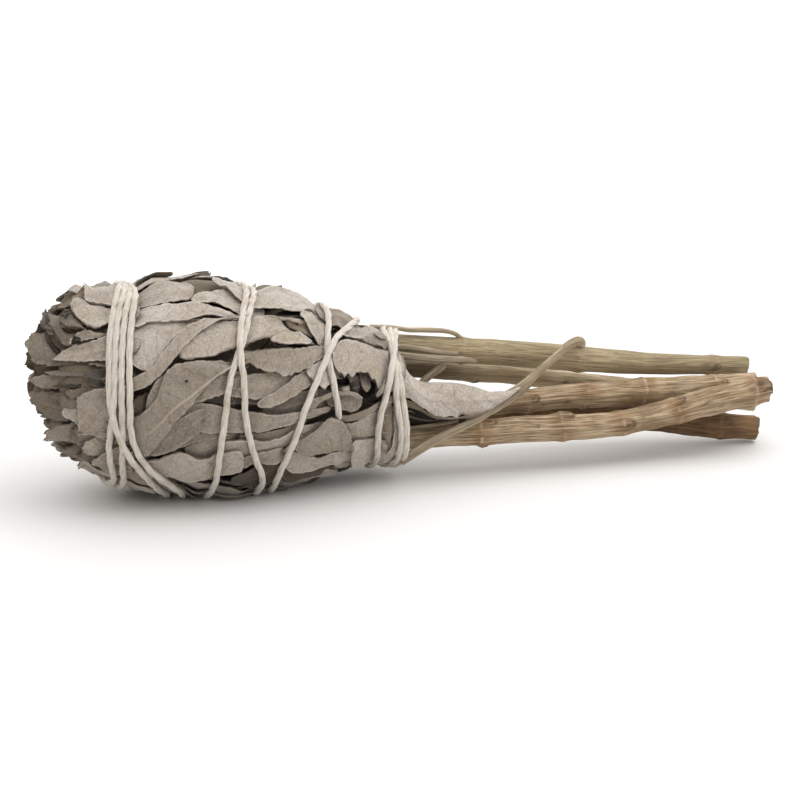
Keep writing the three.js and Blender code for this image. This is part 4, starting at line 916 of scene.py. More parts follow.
# %% What sets single leaves apart
TRAITS = {
    "big_leaf": dict(rib=0.5, ribbed=1.6, crown=0.3, crumpled=0.7, brown=0.15, rounding=0.15,
        rib_at=[0.3, 0.8, 0.82, 0.7, 0.45, 0.2, 0.05, 0]),
    "big_under": dict(rib=0.2, lift_two=0.25, brown=0.2),
    "torn_leaf": dict(torn_two=0.9, lift_two=0.45, crumpled=1.3, brown=0.55),
    "torn_under": dict(torn_two=1, torn_tip=0.6, lift_two=0.3, brown=0.5),
    "round_leaf": dict(torn_one=0.6, crown=0.7, lift_one=0.35, brown=0.5, rounding=0.1),
    "domed_leaf": dict(torn_two=1.6, crown=0.8, lift_two=0.4, brown=0.45),
    "neck_curl": dict(crown=0.9, torn_one=0.5, torn_tip=0.5, brown=0.9, bark=0.1),
    "neck_top": dict(torn_one=0.4, lift_one=0.2, brown=0.4, crumpled=1.4),
    "rolled_edge_leaf": dict(lift_two=0.5, brown=0.8, crown=0.4),
    "fan_leaf": dict(fold=0.5, veined=1.6, crown=0.4),
    "shoulder_leaf": dict(crown=0.35, crumpled=1.2, lift_two=0.3),
    "upper_band": dict(rib=0.1, crown=0.45, crumpled=0.7),
    "top_leaf": dict(lift_two=0.35, brown=0.7, crumpled=1.2),
    "folded_strip": dict(crown=0.5, rib=0, crumpled=0.5),
    "curled_scrap": dict(crown=0.5, brown=0.5),
    "brown_patch": dict(brown=1, bark=0.3, crumpled=1.4),
    "brown_strip": dict(brown=1, bark=0.5),
    "brown_rod_a": dict(brown=1, crown=0.7),
    "speck": dict(sink=0, crown=0.2, crumpled=0.3),
    "curl_hollow": dict(bark=0.1, brown=1),
    "brown_rod_b": dict(bark=0.6, brown=1, crown=0.6),
    "belly_olive": dict(bark=0.2, crumpled=1.3),
    "belly_leaf": dict(lift_one=0.4, brown=0.7, crown=0.4),
    "pale_wedge": dict(crown=0.4),
    "long_leaf": dict(rib=0.25, crown=0.4, lift_two=0.3),
    "slanting_leaf": dict(crown=0.35, lift_two=0.3),
    "lower_middle": dict(lift_one=0.25, brown=0.4),
    "petiole": dict(bark=0.45, crown=1.3, rib=0, crumpled=0.3),
    "loop_band": dict(crown=0.6, bark=0.2),
    "olive_edge": dict(bark=0.35, brown=0.9, lift_one=0.4),
    "between_strands": dict(bark=0.45, crown=0.6, brown=1),
    "tail_strip": dict(crown=0.4),
    "cavity_tip_a": dict(bark=0.3, crown=0.6),
    "cavity_tip_b": dict(bark=0.2, crown=0.6),
    "horn_leaf": dict(brown=0.5, lift_one=1.1, lift_two=0.2, crown=0.05, torn_one=0),
    "inner_roll": dict(brown=0.9, crown=0.9, lift_one=0.7, torn_one=0),
    "brow_leaf": dict(brown=0.8, crown=0.5, lift_two=0.9, crumpled=1, torn_one=0, torn_two=0),
    "top_left": dict(crumpled=1, torn_one=0, torn_two=0, lift_two=0.05, brown=0.5),
    "pale_lip": dict(crown=0.6),
    "cavity_shard": dict(brown=1, torn_tip=1, crown=0.3),
    "top_rim": dict(brown=1, bark=0.7, torn_tip=1, torn_one=0.6),
    "rim_strip_a": dict(brown=1, bark=0.5, torn_tip=1, torn_one=0.6),
    "rim_strip_b": dict(brown=1, bark=0.6, torn_tip=1, torn_one=0.6),
    "nook_leaf": dict(brown=1, bark=0.4, torn_tip=0.6),
    "ridge_a": dict(crown=0.7, brown=0.7, torn_tip=1),
    "ridge_b": dict(crown=0.8, brown=0.7, torn_tip=1),
    "ridge_c": dict(crown=0.6, brown=1, torn_tip=1),
    "neck_under": dict(brown=0.6, crumpled=1.4),
    "under_shoulder": dict(brown=0.6, crumpled=1.4),
    "left_end": dict(brown=0.8, bark=0.15, torn_tip=1.3),
    "dark_nub": dict(brown=1, bark=0.35, torn_tip=1, crown=0.6),
    "ridge_nub": dict(brown=1, bark=0.3, torn_tip=1, crown=0.6),
    "low_nub": dict(brown=1, bark=0.3, torn_tip=1, crown=0.5),
    "wide_low_nub": dict(brown=0.8, bark=0.2, torn_tip=1, crown=0.5),
    "corner_nub": dict(brown=0.8, bark=0.2, torn_tip=0.8, crown=0.4),
    "shade_piece": dict(brown=0.6, torn_tip=0.6),
    "brown_point": dict(brown=1, bark=0.6, crown=0.5),
    "brown_point_b": dict(brown=1, bark=0.6, crown=0.4),
    "bottom_brown": dict(brown=1, bark=0.3, torn_tip=0.6),
    "bottom_nub": dict(brown=0.7, torn_tip=0.6),
    "ragged_piece": dict(torn_tip=1, brown=0.6),
    "notch_leaf": dict(torn_tip=0.5, crown=0.3, crumpled=1),
    "square_leaf": dict(rounding=0, heel=0.02, crown=0.1, crumpled=0.8, brown=0.2, rib=0.12, torn_one=0,
        torn_two=0, painted_shade_to_base=0),
    "pointed_leaf": dict(rib=0.22, ribbed=0.6, crown=0.4, brown=0.35, rounding=0.02, crumpled=1, torn_one=0,
        torn_two=0, painted_shade_to_base=-0.2),
}
# painted shade: all tip leaves get the darker base and the paler end
TIP_TRAITS = dict(scallop=0.3, crumpled=1.6, torn_one=0.3, torn_two=0.3, painted_shade_to_base=0.4)
print("leaves with traits of their own:", len(TRAITS), "of", len(SHOWN))

# %% [markdown]
# Now they are laid. Each leaf gets a grid as fine as its size asks for, about 0.4 mm from
# point to point. The leaves are sorted into three pieces, belly, neck and tip, only so that
# no piece gets too heavy.

# %% Laying the shown leaves
SHOWN_CELL = 0.42
TIP_LEAVES = list(SHOWN)[list(SHOWN).index("left_end"):]
NECK_LEAVES = [
    "neck_side", "round_leaf", "olive_edge", "neck_top", "domed_leaf", "neck_curl", "curl_hollow",
    "tail_strip", "between_strands", "beside_strand", "petiole", "fan_leaf", "shoulder_leaf",
    "below_round", "torn_leaf", "torn_under", "loop_lobe", "loop_band", "cavity_shade_sheet",
    "cavity_shard", "cavity_tip_a", "cavity_tip_b", "cavity_shade_block", "brown_rod_a", "brown_rod_b",
]
# painted light and shade: each shown leaf's second number is partly its own tone and partly how lit or
# shaded it is set to look
for name, (lift, tint, one, two) in SHOWN.items():
    seed += 1
    first, second = even_points(one, 9), even_points(two, 9)
    middle, apart = (first + second) / 2, first - second
    radius = head_radius(middle[:, 0])
    long = span(np.diff(middle[:, 0]), np.diff(middle[:, 1]), radius[1:]).sum()
    wide = span(apart[:, 0], apart[:, 1], radius).max()
    part = "tip" if name in TIP_LEAVES else "neck" if name in NECK_LEAVES else "belly"
    leaf = dict(part=part, one=one, two=two, lift=lift, tint=tint,
                rows=int(np.clip(long / SHOWN_CELL, 20, 110)),
                columns=int(np.clip(wide / SHOWN_CELL, 9, 34)))
    leaf.update(TIP_TRAITS if part == "tip" else {})
    leaf.update(TRAITS.get(name, {}))
    lay(leaf, seed)
print("leaves laid in all:", len(laid))

# %% [markdown]
# Inside the blunt tip the leaves stand in rings, and only their cut, curled ends show. They
# keep to a share of the head's radius, so they need no height map. Smaller rings end
# further in or out by turns, which makes the ragged tip. Their dark, olive-brown colour is
# partly their dry ends and partly painted shade for the deep inside of the tip.

# %% Rings inside the tip
RINGS = [
    (0.94, 17, 6.6, 3.4), (0.82, 15, 5.2, 3.2), (0.69, 13, 4.2, 3), (0.56, 10, 3.4, 2.8),
    (0.42, 8, 2.9, 2.6), (0.28, 5, 3.0, 2.3), (0.14, 3, 3.2, 1.8),
]
RING_BASE = 19
for share, count, tip_at, half in RINGS:
    for i in range(count):
        seed += 1
        turn = 360 * (i + vary(seed, 1, 0.45)) / count
        end = max(tip_at + vary(seed, 2, 2.8), 1.7) + share * tip_cut(turn)
        # partly painted shade: the low tone and olive bark darken the ring leaves for the shade inside the
        # tip
        leaf = ruled_leaf(
            "rings", (RING_BASE, turn), (end, turn + vary(seed, 3, 12)),
            half * (1 + vary(seed, 4, 0.35)), vary(seed, 5, 0.7), cell=0.5, share=share,
            blunt=draw(seed, 6) > 0.35, crown=0.5 + vary(seed, 7, 0.6), crumpled=1.8,
            torn_tip=1, lift_one=vary(seed, 8, 0.9), lift_two=vary(seed, 9, 0.9), brown=0.9,
            bark=0.2 + 0.5 * draw(seed, 10), tint=-0.1, scallop=0.35, sink=0.4)
        lay(leaf, seed)
print("leaves with the rings:", len(laid))

# %% [markdown]
# The wound string has pulled the bundle tight. Two smooth maps do that to every layer at
# once, so the leaves keep their order. One brings the outermost leaves to an even height
# above the head's form. The other presses a groove under each turn of string, just as deep
# as the string needs to lie on the leaves, and they swell between the turns.

# %% Pulled tight by the string
SWELL = 0.2
MOST_DOWN = 4
MOST_UP = 0.4
GROOVE_HALF = 1.9
GROOVE_LEAST = 0.15
GROOVE_REACH_AT = 10
GROOVE_REACH_TURN = 14


def blurred(field, reach):
    for _ in range(3):
        wide = np.pad(field, ((reach, reach), (0, 0)), mode="edge")
        field = sum(wide[k:k + len(field)] for k in range(2 * reach + 1)) / (2 * reach + 1)
        field = sum(np.roll(field, k, axis=1) for k in range(-reach, reach + 1)) / (2 * reach + 1)
    return field


covered = blurred(heights - head_radius(MAP_AT)[:, None], 7)
evened = np.clip(SWELL - covered, -MOST_DOWN, MOST_UP)
evened = evened - pressed(BITTEN + CUT_AWAY, MAP_AT[:, None], np.arange(360)[None])
string_foot = string_height - STRING_RADIUS
leaves_top = read_map(heights + evened, string_at, string_turn)
need = np.maximum(leaves_top - string_foot + 0.05, GROOVE_LEAST)
need = need * (1 - tucked(string_angle, 9))
need = np.convolve(np.pad(need, 4, mode="edge"), np.ones(9) / 9, mode="valid")
groove = np.zeros_like(heights)
for where, turn, deep in zip(string_at, string_turn, need):
    i, j = int(round((where - MAP_AT[0]) / AT_STEP)), int(round(turn))
    rows = np.arange(max(i - GROOVE_REACH_AT, 0), min(i + GROOVE_REACH_AT + 1, len(MAP_AT)))
    columns = np.arange(j - GROOVE_REACH_TURN, j + GROOVE_REACH_TURN + 1)
    down = (MAP_AT[rows] - where)[:, None]
    across = np.radians(columns - turn) * head_radius(where)
    dent = deep * np.exp(-(down ** 2 + across ** 2) / GROOVE_HALF ** 2)
    block = np.ix_(rows, columns % 360)
    groove[block] = np.maximum(groove[block], dent)
print("deepest groove:", round(float(groove.max()), 2), "mm")

# %% [markdown]
# The head lies on the floor and is a little flattened there. A soft limit does that: points
# near the floor come closer and closer to it without passing through. With that every leaf
# gets its place in space, and all leaves of one part become one mesh.

# %% Down on the floor
FLOOR_SOFT = 0.7


def rest_on_floor(points):
    low = points[:, 2] < FLOOR_SOFT
    eased = FLOOR_SOFT * np.exp((points[:, 2] - FLOOR_SOFT) / FLOOR_SOFT)
    points[:, 2] = np.where(low, eased, points[:, 2])
    return points


def leaf_piece(name, chosen):
    points, quads, fields, uv = [], [], {}, []
    start = 0
    for sheet in chosen:
        at, turn = sheet["at"], sheet["turn"]
        shift = (read_map(evened, at, turn) - read_map(groove, at, turn)) * sheet["share"] ** 2
        for face in ("top", "under"):
            points.append(head_point(at, turn, sheet[face] + shift).reshape(-1, 3))
            uv.append(uv_of(sheet["x"], sheet["y"]))
            for field in LEAF_FIELDS:
                fields.setdefault(field, []).append(sheet[field].ravel())
            fields.setdefault("underside", []).append(np.full(at.size, float(face == "under")))
        quads.append(shell_quads(*at.shape) + start)
        start += 2 * at.size
    points = rest_on_floor(np.concatenate(points))
    fields = {field: np.concatenate(parts) for field, parts in fields.items()}
    return make_mesh(name, points, np.concatenate(quads), fields, np.concatenate(uv))


leaf_pieces = []
for part in ("deep", "back", "belly", "neck", "tip", "rings"):
    leaf_pieces.append(leaf_piece("leaves_" + part, [sheet for sheet in laid if sheet["part"] == part]))

# %% [markdown]
# Under all the leaves the bundle is solid with more leaves and stems. A lumpy closed form
# stands in for them, well below the shown ones and painted dark brown as the shade deep
# inside, so that no gap shows daylight.

# %% Packed middle
CORE_FROM = 9
CORE_TO = 78
CORE_ROWS = 90
CORE_COLUMNS = 120

core_at = np.linspace(CORE_FROM, CORE_TO, CORE_ROWS)[:, None]
core_turn = np.linspace(0, 360, CORE_COLUMNS + 1)[None, :-1]
ends = np.clip((core_at - CORE_FROM) / 4, 0, 1) * np.clip((CORE_TO - core_at) / 6, 0, 1)
lumps = 0.5 * rumple(core_at / 9, core_turn / 14, 50) * np.sin(np.radians(core_turn) / 2) ** 2
core_radius = (head_radius(core_at) - CORE_DEPTH - 0.3 + lumps) * np.sqrt(ends)
core_points = head_point(core_at, core_turn, core_radius).reshape(-1, 3)
core = make_mesh("packed_middle", rest_on_floor(core_points), tube_quads(CORE_ROWS, CORE_COLUMNS), {},
                 uv_of(core_at, core_turn), poles=True)

# %% [markdown]
# The string's knot sits at the back of the neck, where both ends meet. It is an overhand
# knot pulled small, and the two ends stick out of it and lie down on the leaves.

# %% Knot and string ends
KNOT_AT = 72.6
KNOT_TURN = 176
KNOT_SIZE = 0.42

knot_middle = head_point(np.array(KNOT_AT), np.array(KNOT_TURN), np.array(head_radius(KNOT_AT) + 1.6))
knot_out = outward(np.array(KNOT_TURN))
knot_round = np.cross(knot_out, ALONG)
t = np.linspace(0, 2 * np.pi, 72)[:, None]
loops = (np.sin(t) + 2 * np.sin(2 * t)) * ALONG + (np.cos(t) - 2 * np.cos(2 * t)) * knot_round
knot_line = knot_middle + KNOT_SIZE * (loops - 1.3 * np.sin(3 * t) * knot_out)
print("knot at", knot_middle.round(1), "mm")


def smooth_line(points, spacing):
    points = np.array(points, float)
    before = 2 * points[0] - points[1]
    after = 2 * points[-1] - points[-2]
    chain = np.concatenate([[before], points, [after]])
    dense = []
    for i in range(len(points) - 1):
        a, b, c, d = chain[i:i + 4]
        u = np.linspace(0, 1, 40, endpoint=False)[:, None]
        dense.append(0.5 * (2 * b + (c - a) * u + (2 * a - 5 * b + 4 * c - d) * u ** 2
                            + (3 * b - a - 3 * c + d) * u ** 3))
    dense = np.concatenate(dense + [points[-1:]])
    way = np.concatenate([[0], np.cumsum(np.linalg.norm(np.diff(dense, axis=0), axis=1))])
    even = np.linspace(0, way[-1], max(int(way[-1] / spacing), 3) + 1)
    return np.stack([np.interp(even, way, dense[:, k]) for k in range(dense.shape[1])], -1), even


def over_head(route):
    at, turn, above = np.array(route, float).T
    return smooth_line(head_point(at, turn, head_radius(at) + above), 0.5)[0]


end_one = over_head([(72.6, 177, 2.0), (71, 181, 2.4), (68.6, 184, 1.9), (65.6, 183, 2.0), (63.4, 180, 2.7)])
end_two = over_head([(72.6, 175, 2.0), (74.6, 171, 2.3), (76.4, 167, 1.6), (77.6, 161, 1.2)])
print("points on the two ends:", len(end_one), len(end_two))

# %% [markdown]
# The string is soft cotton, made by Geometry Nodes. First come helpers for them. They do
# sums with numbers and with vectors, turn lines of points into a curve, start a node tree,
# and put a tree on a piece, take the finished mesh and remove the source.

# %% Helpers for Geometry Nodes
def calc(tree, operation, *values, kind="ShaderNodeMath"):
    return node(tree, kind, dict(enumerate(values)), operation=operation).outputs[0]


def times(tree, a, b):
    return calc(tree, "MULTIPLY", a, b)


def vectors(tree, operation, *values):
    return calc(tree, operation, *values, kind="ShaderNodeVectorMath")


def vector_of(tree, x, y=0.0, z=0.0):
    return node(tree, "ShaderNodeCombineXYZ", {"X": x, "Y": y, "Z": z}).outputs[0]


def stored(tree, geometry, name, value):
    return node(tree, "GeometryNodeStoreNamedAttribute", {
        "Geometry": geometry, "Name": name, "Value": value}, data_type="FLOAT", domain="POINT").outputs[0]


def poly_curve(name, lines):
    data = bpy.data.curves.new(name, "CURVE")
    data.dimensions = "3D"
    for line in lines:
        spline = data.splines.new("POLY")
        spline.points.add(len(line) - 1)
        spline.points.foreach_set("co", np.column_stack([line * MM, np.ones(len(line))]).ravel())
    piece = bpy.data.objects.new(name, data)
    bpy.context.scene.collection.objects.link(piece)
    return piece


def new_tree(name, *floats):
    tree = bpy.data.node_groups.new(name, "GeometryNodeTree")
    tree.interface.new_socket("Geometry", in_out="INPUT", socket_type="NodeSocketGeometry")
    for label, value in floats:
        socket = tree.interface.new_socket(label, in_out="INPUT", socket_type="NodeSocketFloat")
        socket.default_value = value
    tree.interface.new_socket("Material", in_out="INPUT", socket_type="NodeSocketMaterial")
    tree.interface.new_socket("Geometry", in_out="OUTPUT", socket_type="NodeSocketGeometry")
    return tree, tree.nodes.new("NodeGroupInput"), tree.nodes.new("NodeGroupOutput")


def apply_tree(source, tree, name, material):
    modifier = source.modifiers.new(tree.name, "NODES")
    modifier.node_group = tree
    for socket in tree.interface.items_tree:
        if socket.in_out == "INPUT" and socket.socket_type == "NodeSocketMaterial":
            modifier[socket.identifier] = material
    depsgraph = bpy.context.evaluated_depsgraph_get()
    mesh = bpy.data.meshes.new_from_object(source.evaluated_get(depsgraph))
    piece = bpy.data.objects.new(name, mesh)
    bpy.context.scene.collection.objects.link(piece)
    mesh.polygons.foreach_set("use_smooth", np.ones(len(mesh.polygons), bool))
    bpy.data.objects.remove(source)
    print(name, "has", len(mesh.polygons), "faces")
    return piece


print("lines of string:", [len(line) for line in (string_line, knot_line, end_one, end_two)], "points")

# %% [markdown]
# Real tying string is three strands twisted together. The path is cut into short even
# steps, three strands run round it like a corkscrew, and each strand gets a round section
# that is a little uneven. Two numbers are stored on it, along and around, because the
# pattern of the fibres has to follow the twist.

# %% String by Geometry Nodes
STRAND_OFFSET = 0.24
STRAND_RADIUS = 0.43
TWIST_PITCH = 13
STRAND_STEP = 0.42
STRAND_SIDES = 8


def twisted_string_tree():
    tree, given, result = new_tree(
        "twisted_string", ("Offset", STRAND_OFFSET * MM), ("Strand Radius", STRAND_RADIUS * MM),
        ("Pitch", TWIST_PITCH * MM), ("Step", STRAND_STEP * MM))
    path = node(tree, "GeometryNodeResampleCurve",
                {"Curve": given.outputs["Geometry"], "Length": given.outputs["Step"]}, mode="LENGTH")
    spline = tree.nodes.new("GeometryNodeSplineParameter")
    normal = tree.nodes.new("GeometryNodeInputNormal").outputs["Normal"]
    tangent = tree.nodes.new("GeometryNodeInputTangent").outputs["Tangent"]
    sideways = vectors(tree, "CROSS_PRODUCT", tangent, normal)
    turns = calc(tree, "DIVIDE", spline.outputs["Length"], given.outputs["Pitch"])
    strands = tree.nodes.new("GeometryNodeJoinGeometry")
    for i in range(3):
        angle = calc(tree, "MULTIPLY_ADD", turns, 2 * math.pi, 2 * math.pi * i / 3 + 0.01)
        reach = []
        for operation, axis in (("COSINE", normal), ("SINE", sideways)):
            part = calc(tree, operation, angle)
            size = times(tree, part, given.outputs["Offset"])
            reach.append(node(tree, "ShaderNodeVectorMath", {0: axis, "Scale": size},
                              operation="SCALE").outputs[0])
        offset = vectors(tree, "ADD", reach[0], reach[1])
        strand = node(tree, "GeometryNodeSetPosition",
                      {"Geometry": path.outputs["Curve"], "Offset": offset})
        uneven = node(tree, "ShaderNodeTexNoise", {
            "Vector": vector_of(tree, spline.outputs["Length"], i * 3.7), "Scale": 700.0, "Detail": 2.0})
        wobble = node(tree, "ShaderNodeMapRange",
                      {"Value": uneven.outputs["Fac"], "To Min": 0.82, "To Max": 1.18}).outputs[0]
        size = times(tree, wobble, given.outputs["Strand Radius"])
        kept = stored(tree, strand.outputs["Geometry"], "along", spline.outputs["Length"])
        ring = node(tree, "GeometryNodeCurvePrimitiveCircle", {"Resolution": STRAND_SIDES, "Radius": 1.0})
        share = tree.nodes.new("GeometryNodeSplineParameter").outputs["Factor"]
        marked = stored(tree, ring.outputs["Curve"], "around", share)
        skin = node(tree, "GeometryNodeCurveToMesh", {
            "Curve": kept, "Profile Curve": marked, "Scale": size, "Fill Caps": True})
        tree.links.new(skin.outputs["Mesh"], strands.inputs["Geometry"])
    painted = node(tree, "GeometryNodeSetMaterial",
                   {"Geometry": strands.outputs["Geometry"], "Material": given.outputs["Material"]})
    whole = node(tree, "GeometryNodeRealizeInstances", {"Geometry": painted.outputs["Geometry"]})
    tree.links.new(whole.outputs["Geometry"], result.inputs["Geometry"])
    return tree


cotton = bpy.data.materials.new("cotton")
string_path = poly_curve("string_path", [string_line, knot_line, end_one, end_two])
string = apply_tree(string_path, twisted_string_tree(), "string", cotton)

# %% [markdown]
# Loose fibres stand off cotton string everywhere, and without them it would look like wire.
# Geometry Nodes scatter points over the string, put a short bent fibre of three sides on
# each, thinner towards its end, and turn and scale it by seeded draws. Fibres that would go
# through the floor are brought up to it.

# %% Loose fibres
FIBRE_COUNT_PER_MM2 = 0.6
FIBRE_RADIUS = 0.024
FIBRE_LENGTH = 1.35
FIBRE_LEAN = 0.7


def loose_fibre_tree():
    tree, given, result = new_tree("loose_fibres", ("Density", FIBRE_COUNT_PER_MM2 / MM ** 2),
                                   ("Fibre Radius", FIBRE_RADIUS * MM))
    points = node(tree, "GeometryNodeDistributePointsOnFaces", {
        "Mesh": given.outputs["Geometry"], "Density": given.outputs["Density"], "Seed": 4})
    line = node(tree, "GeometryNodeCurvePrimitiveLine", {
        "Start": (0, 0, 0), "End": (0, 0, FIBRE_LENGTH * MM)})
    steps = node(tree, "GeometryNodeResampleCurve", {"Curve": line.outputs["Curve"], "Count": 5},
                 mode="COUNT")
    share = tree.nodes.new("GeometryNodeSplineParameter").outputs["Factor"]
    lean = times(tree, calc(tree, "POWER", share, 2.0), FIBRE_LEAN * MM)
    bent = node(tree, "GeometryNodeSetPosition", {
        "Geometry": steps.outputs["Curve"], "Offset": vector_of(tree, lean)})
    ring = node(tree, "GeometryNodeCurvePrimitiveCircle", {"Resolution": 3, "Radius": 1.0})
    size = node(tree, "ShaderNodeMapRange", {"Value": share, "To Min": FIBRE_RADIUS * MM,
                                             "To Max": 0.3 * FIBRE_RADIUS * MM}).outputs[0]
    fibre = node(tree, "GeometryNodeCurveToMesh", {
        "Curve": bent.outputs["Geometry"], "Profile Curve": ring.outputs["Curve"], "Scale": size})
    spin = node(tree, "FunctionNodeRandomValue", {1: (1.5, 1.5, 6.28), 0: (-1.5, -1.5, 0), "Seed": 9},
                data_type="FLOAT_VECTOR").outputs[0]
    turned = node(tree, "FunctionNodeRotateRotation", {
        "Rotation": points.outputs["Rotation"],
        "Rotate By": node(tree, "FunctionNodeEulerToRotation", {"Euler": spin}).outputs[0]},
        rotation_space="LOCAL")
    grown = node(tree, "FunctionNodeRandomValue", {2: 0.35, 3: 1.25, "Seed": 12},
                 data_type="FLOAT").outputs[1]
    planted = node(tree, "GeometryNodeInstanceOnPoints", {
        "Points": points.outputs["Points"], "Instance": fibre.outputs["Mesh"],
        "Rotation": turned.outputs[0], "Scale": grown})
    whole = node(tree, "GeometryNodeRealizeInstances", {"Geometry": planted.outputs["Instances"]})
    painted = node(tree, "GeometryNodeSetMaterial",
                   {"Geometry": whole.outputs["Geometry"], "Material": given.outputs["Material"]})
    tree.links.new(painted.outputs["Geometry"], result.inputs["Geometry"])
    return tree


fibre_source = bpy.data.objects.new("fibre_source", string.data.copy())
bpy.context.scene.collection.objects.link(fibre_source)
fibres = apply_tree(fibre_source, loose_fibre_tree(), "string_fibres", cotton)
fibre_points = np.zeros(len(fibres.data.vertices) * 3, np.float32)
fibres.data.vertices.foreach_get("co", fibre_points)
fibre_points = fibre_points.reshape(-1, 3)
fibre_points[:, 2] = np.maximum(fibre_points[:, 2], 0.1 * MM)
fibres.data.vertices.foreach_set("co", fibre_points.ravel())

# %% [markdown]
# The handle is five cut sage stems. Each is lofted along its centre line, a ring of points
# at every half millimetre, and its radius follows the real taper. Where leaves once grew,
# the stem swells into a joint with a ragged ring, and a shed bud or leaf leaves a raised
# scar with a dark edge. So each of these adds to the radius and marks its points by name.

# %% Joints and scars
STEM_COLUMNS = 52
JOINT_SWELL = 0.2
JOINT_REACH = 2.2


def along_line(points, radii, spacing):
    both = np.column_stack([np.array(points, float), radii])
    line, way = smooth_line(both, spacing)
    return line[:, :3] + [0, SHIFT_Y, 0], line[:, 3], way


def frames(line):
    tangent = np.gradient(line, axis=0)
    tangent /= np.linalg.norm(tangent, axis=1)[:, None]
    side = np.cross(tangent, [0, 0, 1.0])
    side /= np.linalg.norm(side, axis=1)[:, None]
    return tangent, side, np.cross(side, tangent)


def with_joints(r, x, turn, joints, seed):
    ring, near = np.zeros_like(r), np.zeros_like(r)
    for k, joint in enumerate(joints):
        away = x - joint - 0.5 * np.cos(np.radians(turn) - draw(seed, k) * 6)
        r = r + JOINT_SWELL * (1 - ramp(0, 1, np.abs(away) / JOINT_REACH))
        crest = np.exp(-(away / 0.2) ** 2)
        r = r + 0.13 * crest * (1 + 0.5 * wander(turn / 23, seed + k))
        near = np.maximum(near, np.exp(-(away / 2.4) ** 2))
        ring = np.maximum(ring, crest * np.clip(0.5 + 0.6 * wander(turn / 21, seed + k + 40), 0.05, 1))
    return r, ring, near


def with_scars(r, x, turn, scars, seed):
    dark = np.zeros_like(r)
    for where, around, size, height in scars:
        apart = np.hypot((x - where) / (1.5 * size), np.radians(round_from(turn, around)) * r / size)
        ragged = apart * (1 + 0.25 * wander(turn / 13 + x * 2.1, seed + 11))
        r = r + height * np.sqrt(np.clip(1 - ragged ** 2, 0, 1)) * (1 - 0.5 * np.exp(-(apart / 0.35) ** 2))
        side_on = np.clip(0.55 + 0.6 * (x - where) / size, 0.15, 1)
        dark = np.maximum(dark, side_on * np.exp(-((ragged - 0.8) / 0.22) ** 2))
        dark = np.maximum(dark, np.exp(-(ragged / 0.45) ** 2))
    return r, dark


print("a joint is", 2 * JOINT_REACH, "mm long and stands", JOINT_SWELL, "mm proud")

# %% [markdown]
# The bark has fine ridges and furrows along the stem and shallow dents across it, stronger
# on the older stems. The cut end is a chipped rim, a flat face and a hollow pith, made of
# five smaller rings: how far each lies in from the end, and its share of the full radius.

# %% Bark, cut end and stem
CUT_FACE = ((0.12, 0.9), (0.1, 0.62), (0.16, 0.36), (0.7, 0.3), (0.9, 0.0))
MEAN_RADIUS = 2.6


def with_grain(r, turn, way, rough, seed):
    angle = np.radians(turn)
    loops = angle * (rough["ridges"] / (2 * np.pi))
    grain = np.cos(angle * 9 + 2 * wander(way / 14, seed)) * 0.03
    fine = 0.05 * rumple(turn / 9, way / 7, seed + 3)
    dents = 0.09 * rumple(turn / 50, way / 3.5, seed + 5)
    furrow = 0.06 * np.abs(wander(loops * 3 + 0.5 * wander(way / 9, seed + 6), seed + 4))
    return r + rough["grain"] * (grain + fine + dents - furrow)


def cut_face(rim, middle, ahead, turn, seed):
    layers, depths = [], []
    for inward, share in CUT_FACE:
        chipped = share * (1 + 0.12 * wander(turn / 17, seed + 8) * (share > 0))
        layers.append(middle + (rim - middle) * chipped[0][:, None] - inward * ahead)
        depths.append(1 + (1 - chipped.mean()))
    return np.array(layers), np.array(depths)[:, None]


def stem(name, points, radii, joints, scars, seed, rough):
    line, radius, way = along_line(points, radii, 0.45)
    tangent, side, up = frames(line)
    turn = np.linspace(0, 360, STEM_COLUMNS + 1)[None, :-1]
    x = line[:, :1]
    r, ring, near = with_joints(radius[:, None] + 0 * turn, x, turn, joints, seed)
    r, dark = with_scars(r, x, turn, scars, seed)
    # painted shade: stem 2 is darkened towards its left end, where the stalks above it shade it, and this
    # shares the scars' dark mark
    dark = np.maximum(dark, rough.get("painted_shade_left", 0) * ramp(22, 8, x))
    r = with_grain(r, turn, way[:, None], rough, seed)
    angle = np.radians(turn)[..., None]
    body = line[:, None] + r[..., None] * (np.cos(angle) * side[:, None] + np.sin(angle) * up[:, None])
    body[-1] += 0.35 * wander(turn / 31, seed + 9)[0][:, None] * tangent[-1]
    face, depth = cut_face(body[-1], line[-1], tangent[-1], turn, seed)
    rows = np.concatenate([np.broadcast_to(line[0], body[:1].shape), body, face])
    fields = {}
    for key, values, at_cut in (("ring", ring, 0), ("scar", dark, 0), ("cut", 0 * r, depth),
                                ("near_joint", near, 0)):
        on_face = at_cut + np.zeros(face.shape[:2])
        fields[key] = np.concatenate([values[:1], values, on_face]).ravel()
    long = np.concatenate([[0], way, np.full(len(face), way[-1])])[:, None]
    uv = uv_of(turn * np.radians(MEAN_RADIUS), long)
    quads = tube_quads(len(rows), STEM_COLUMNS)
    return make_mesh(name, rest_on_floor(rows.reshape(-1, 3)), quads, fields, uv, poles=True)


print("rings on a cut end:", len(CUT_FACE))

# %% [markdown]
# The centre lines, radii and joints follow the CAD stems, read off the photograph once more.
# Each stem has its points, its radius at each point, where its joints are along X, its scars
# and buds (distance along X, turn with 0 in front and 90 on top, size, height), and how
# rough its bark is, which for stem 2 also holds painted shade towards its left end. The young
# green stems are smooth and the old ones are grained.

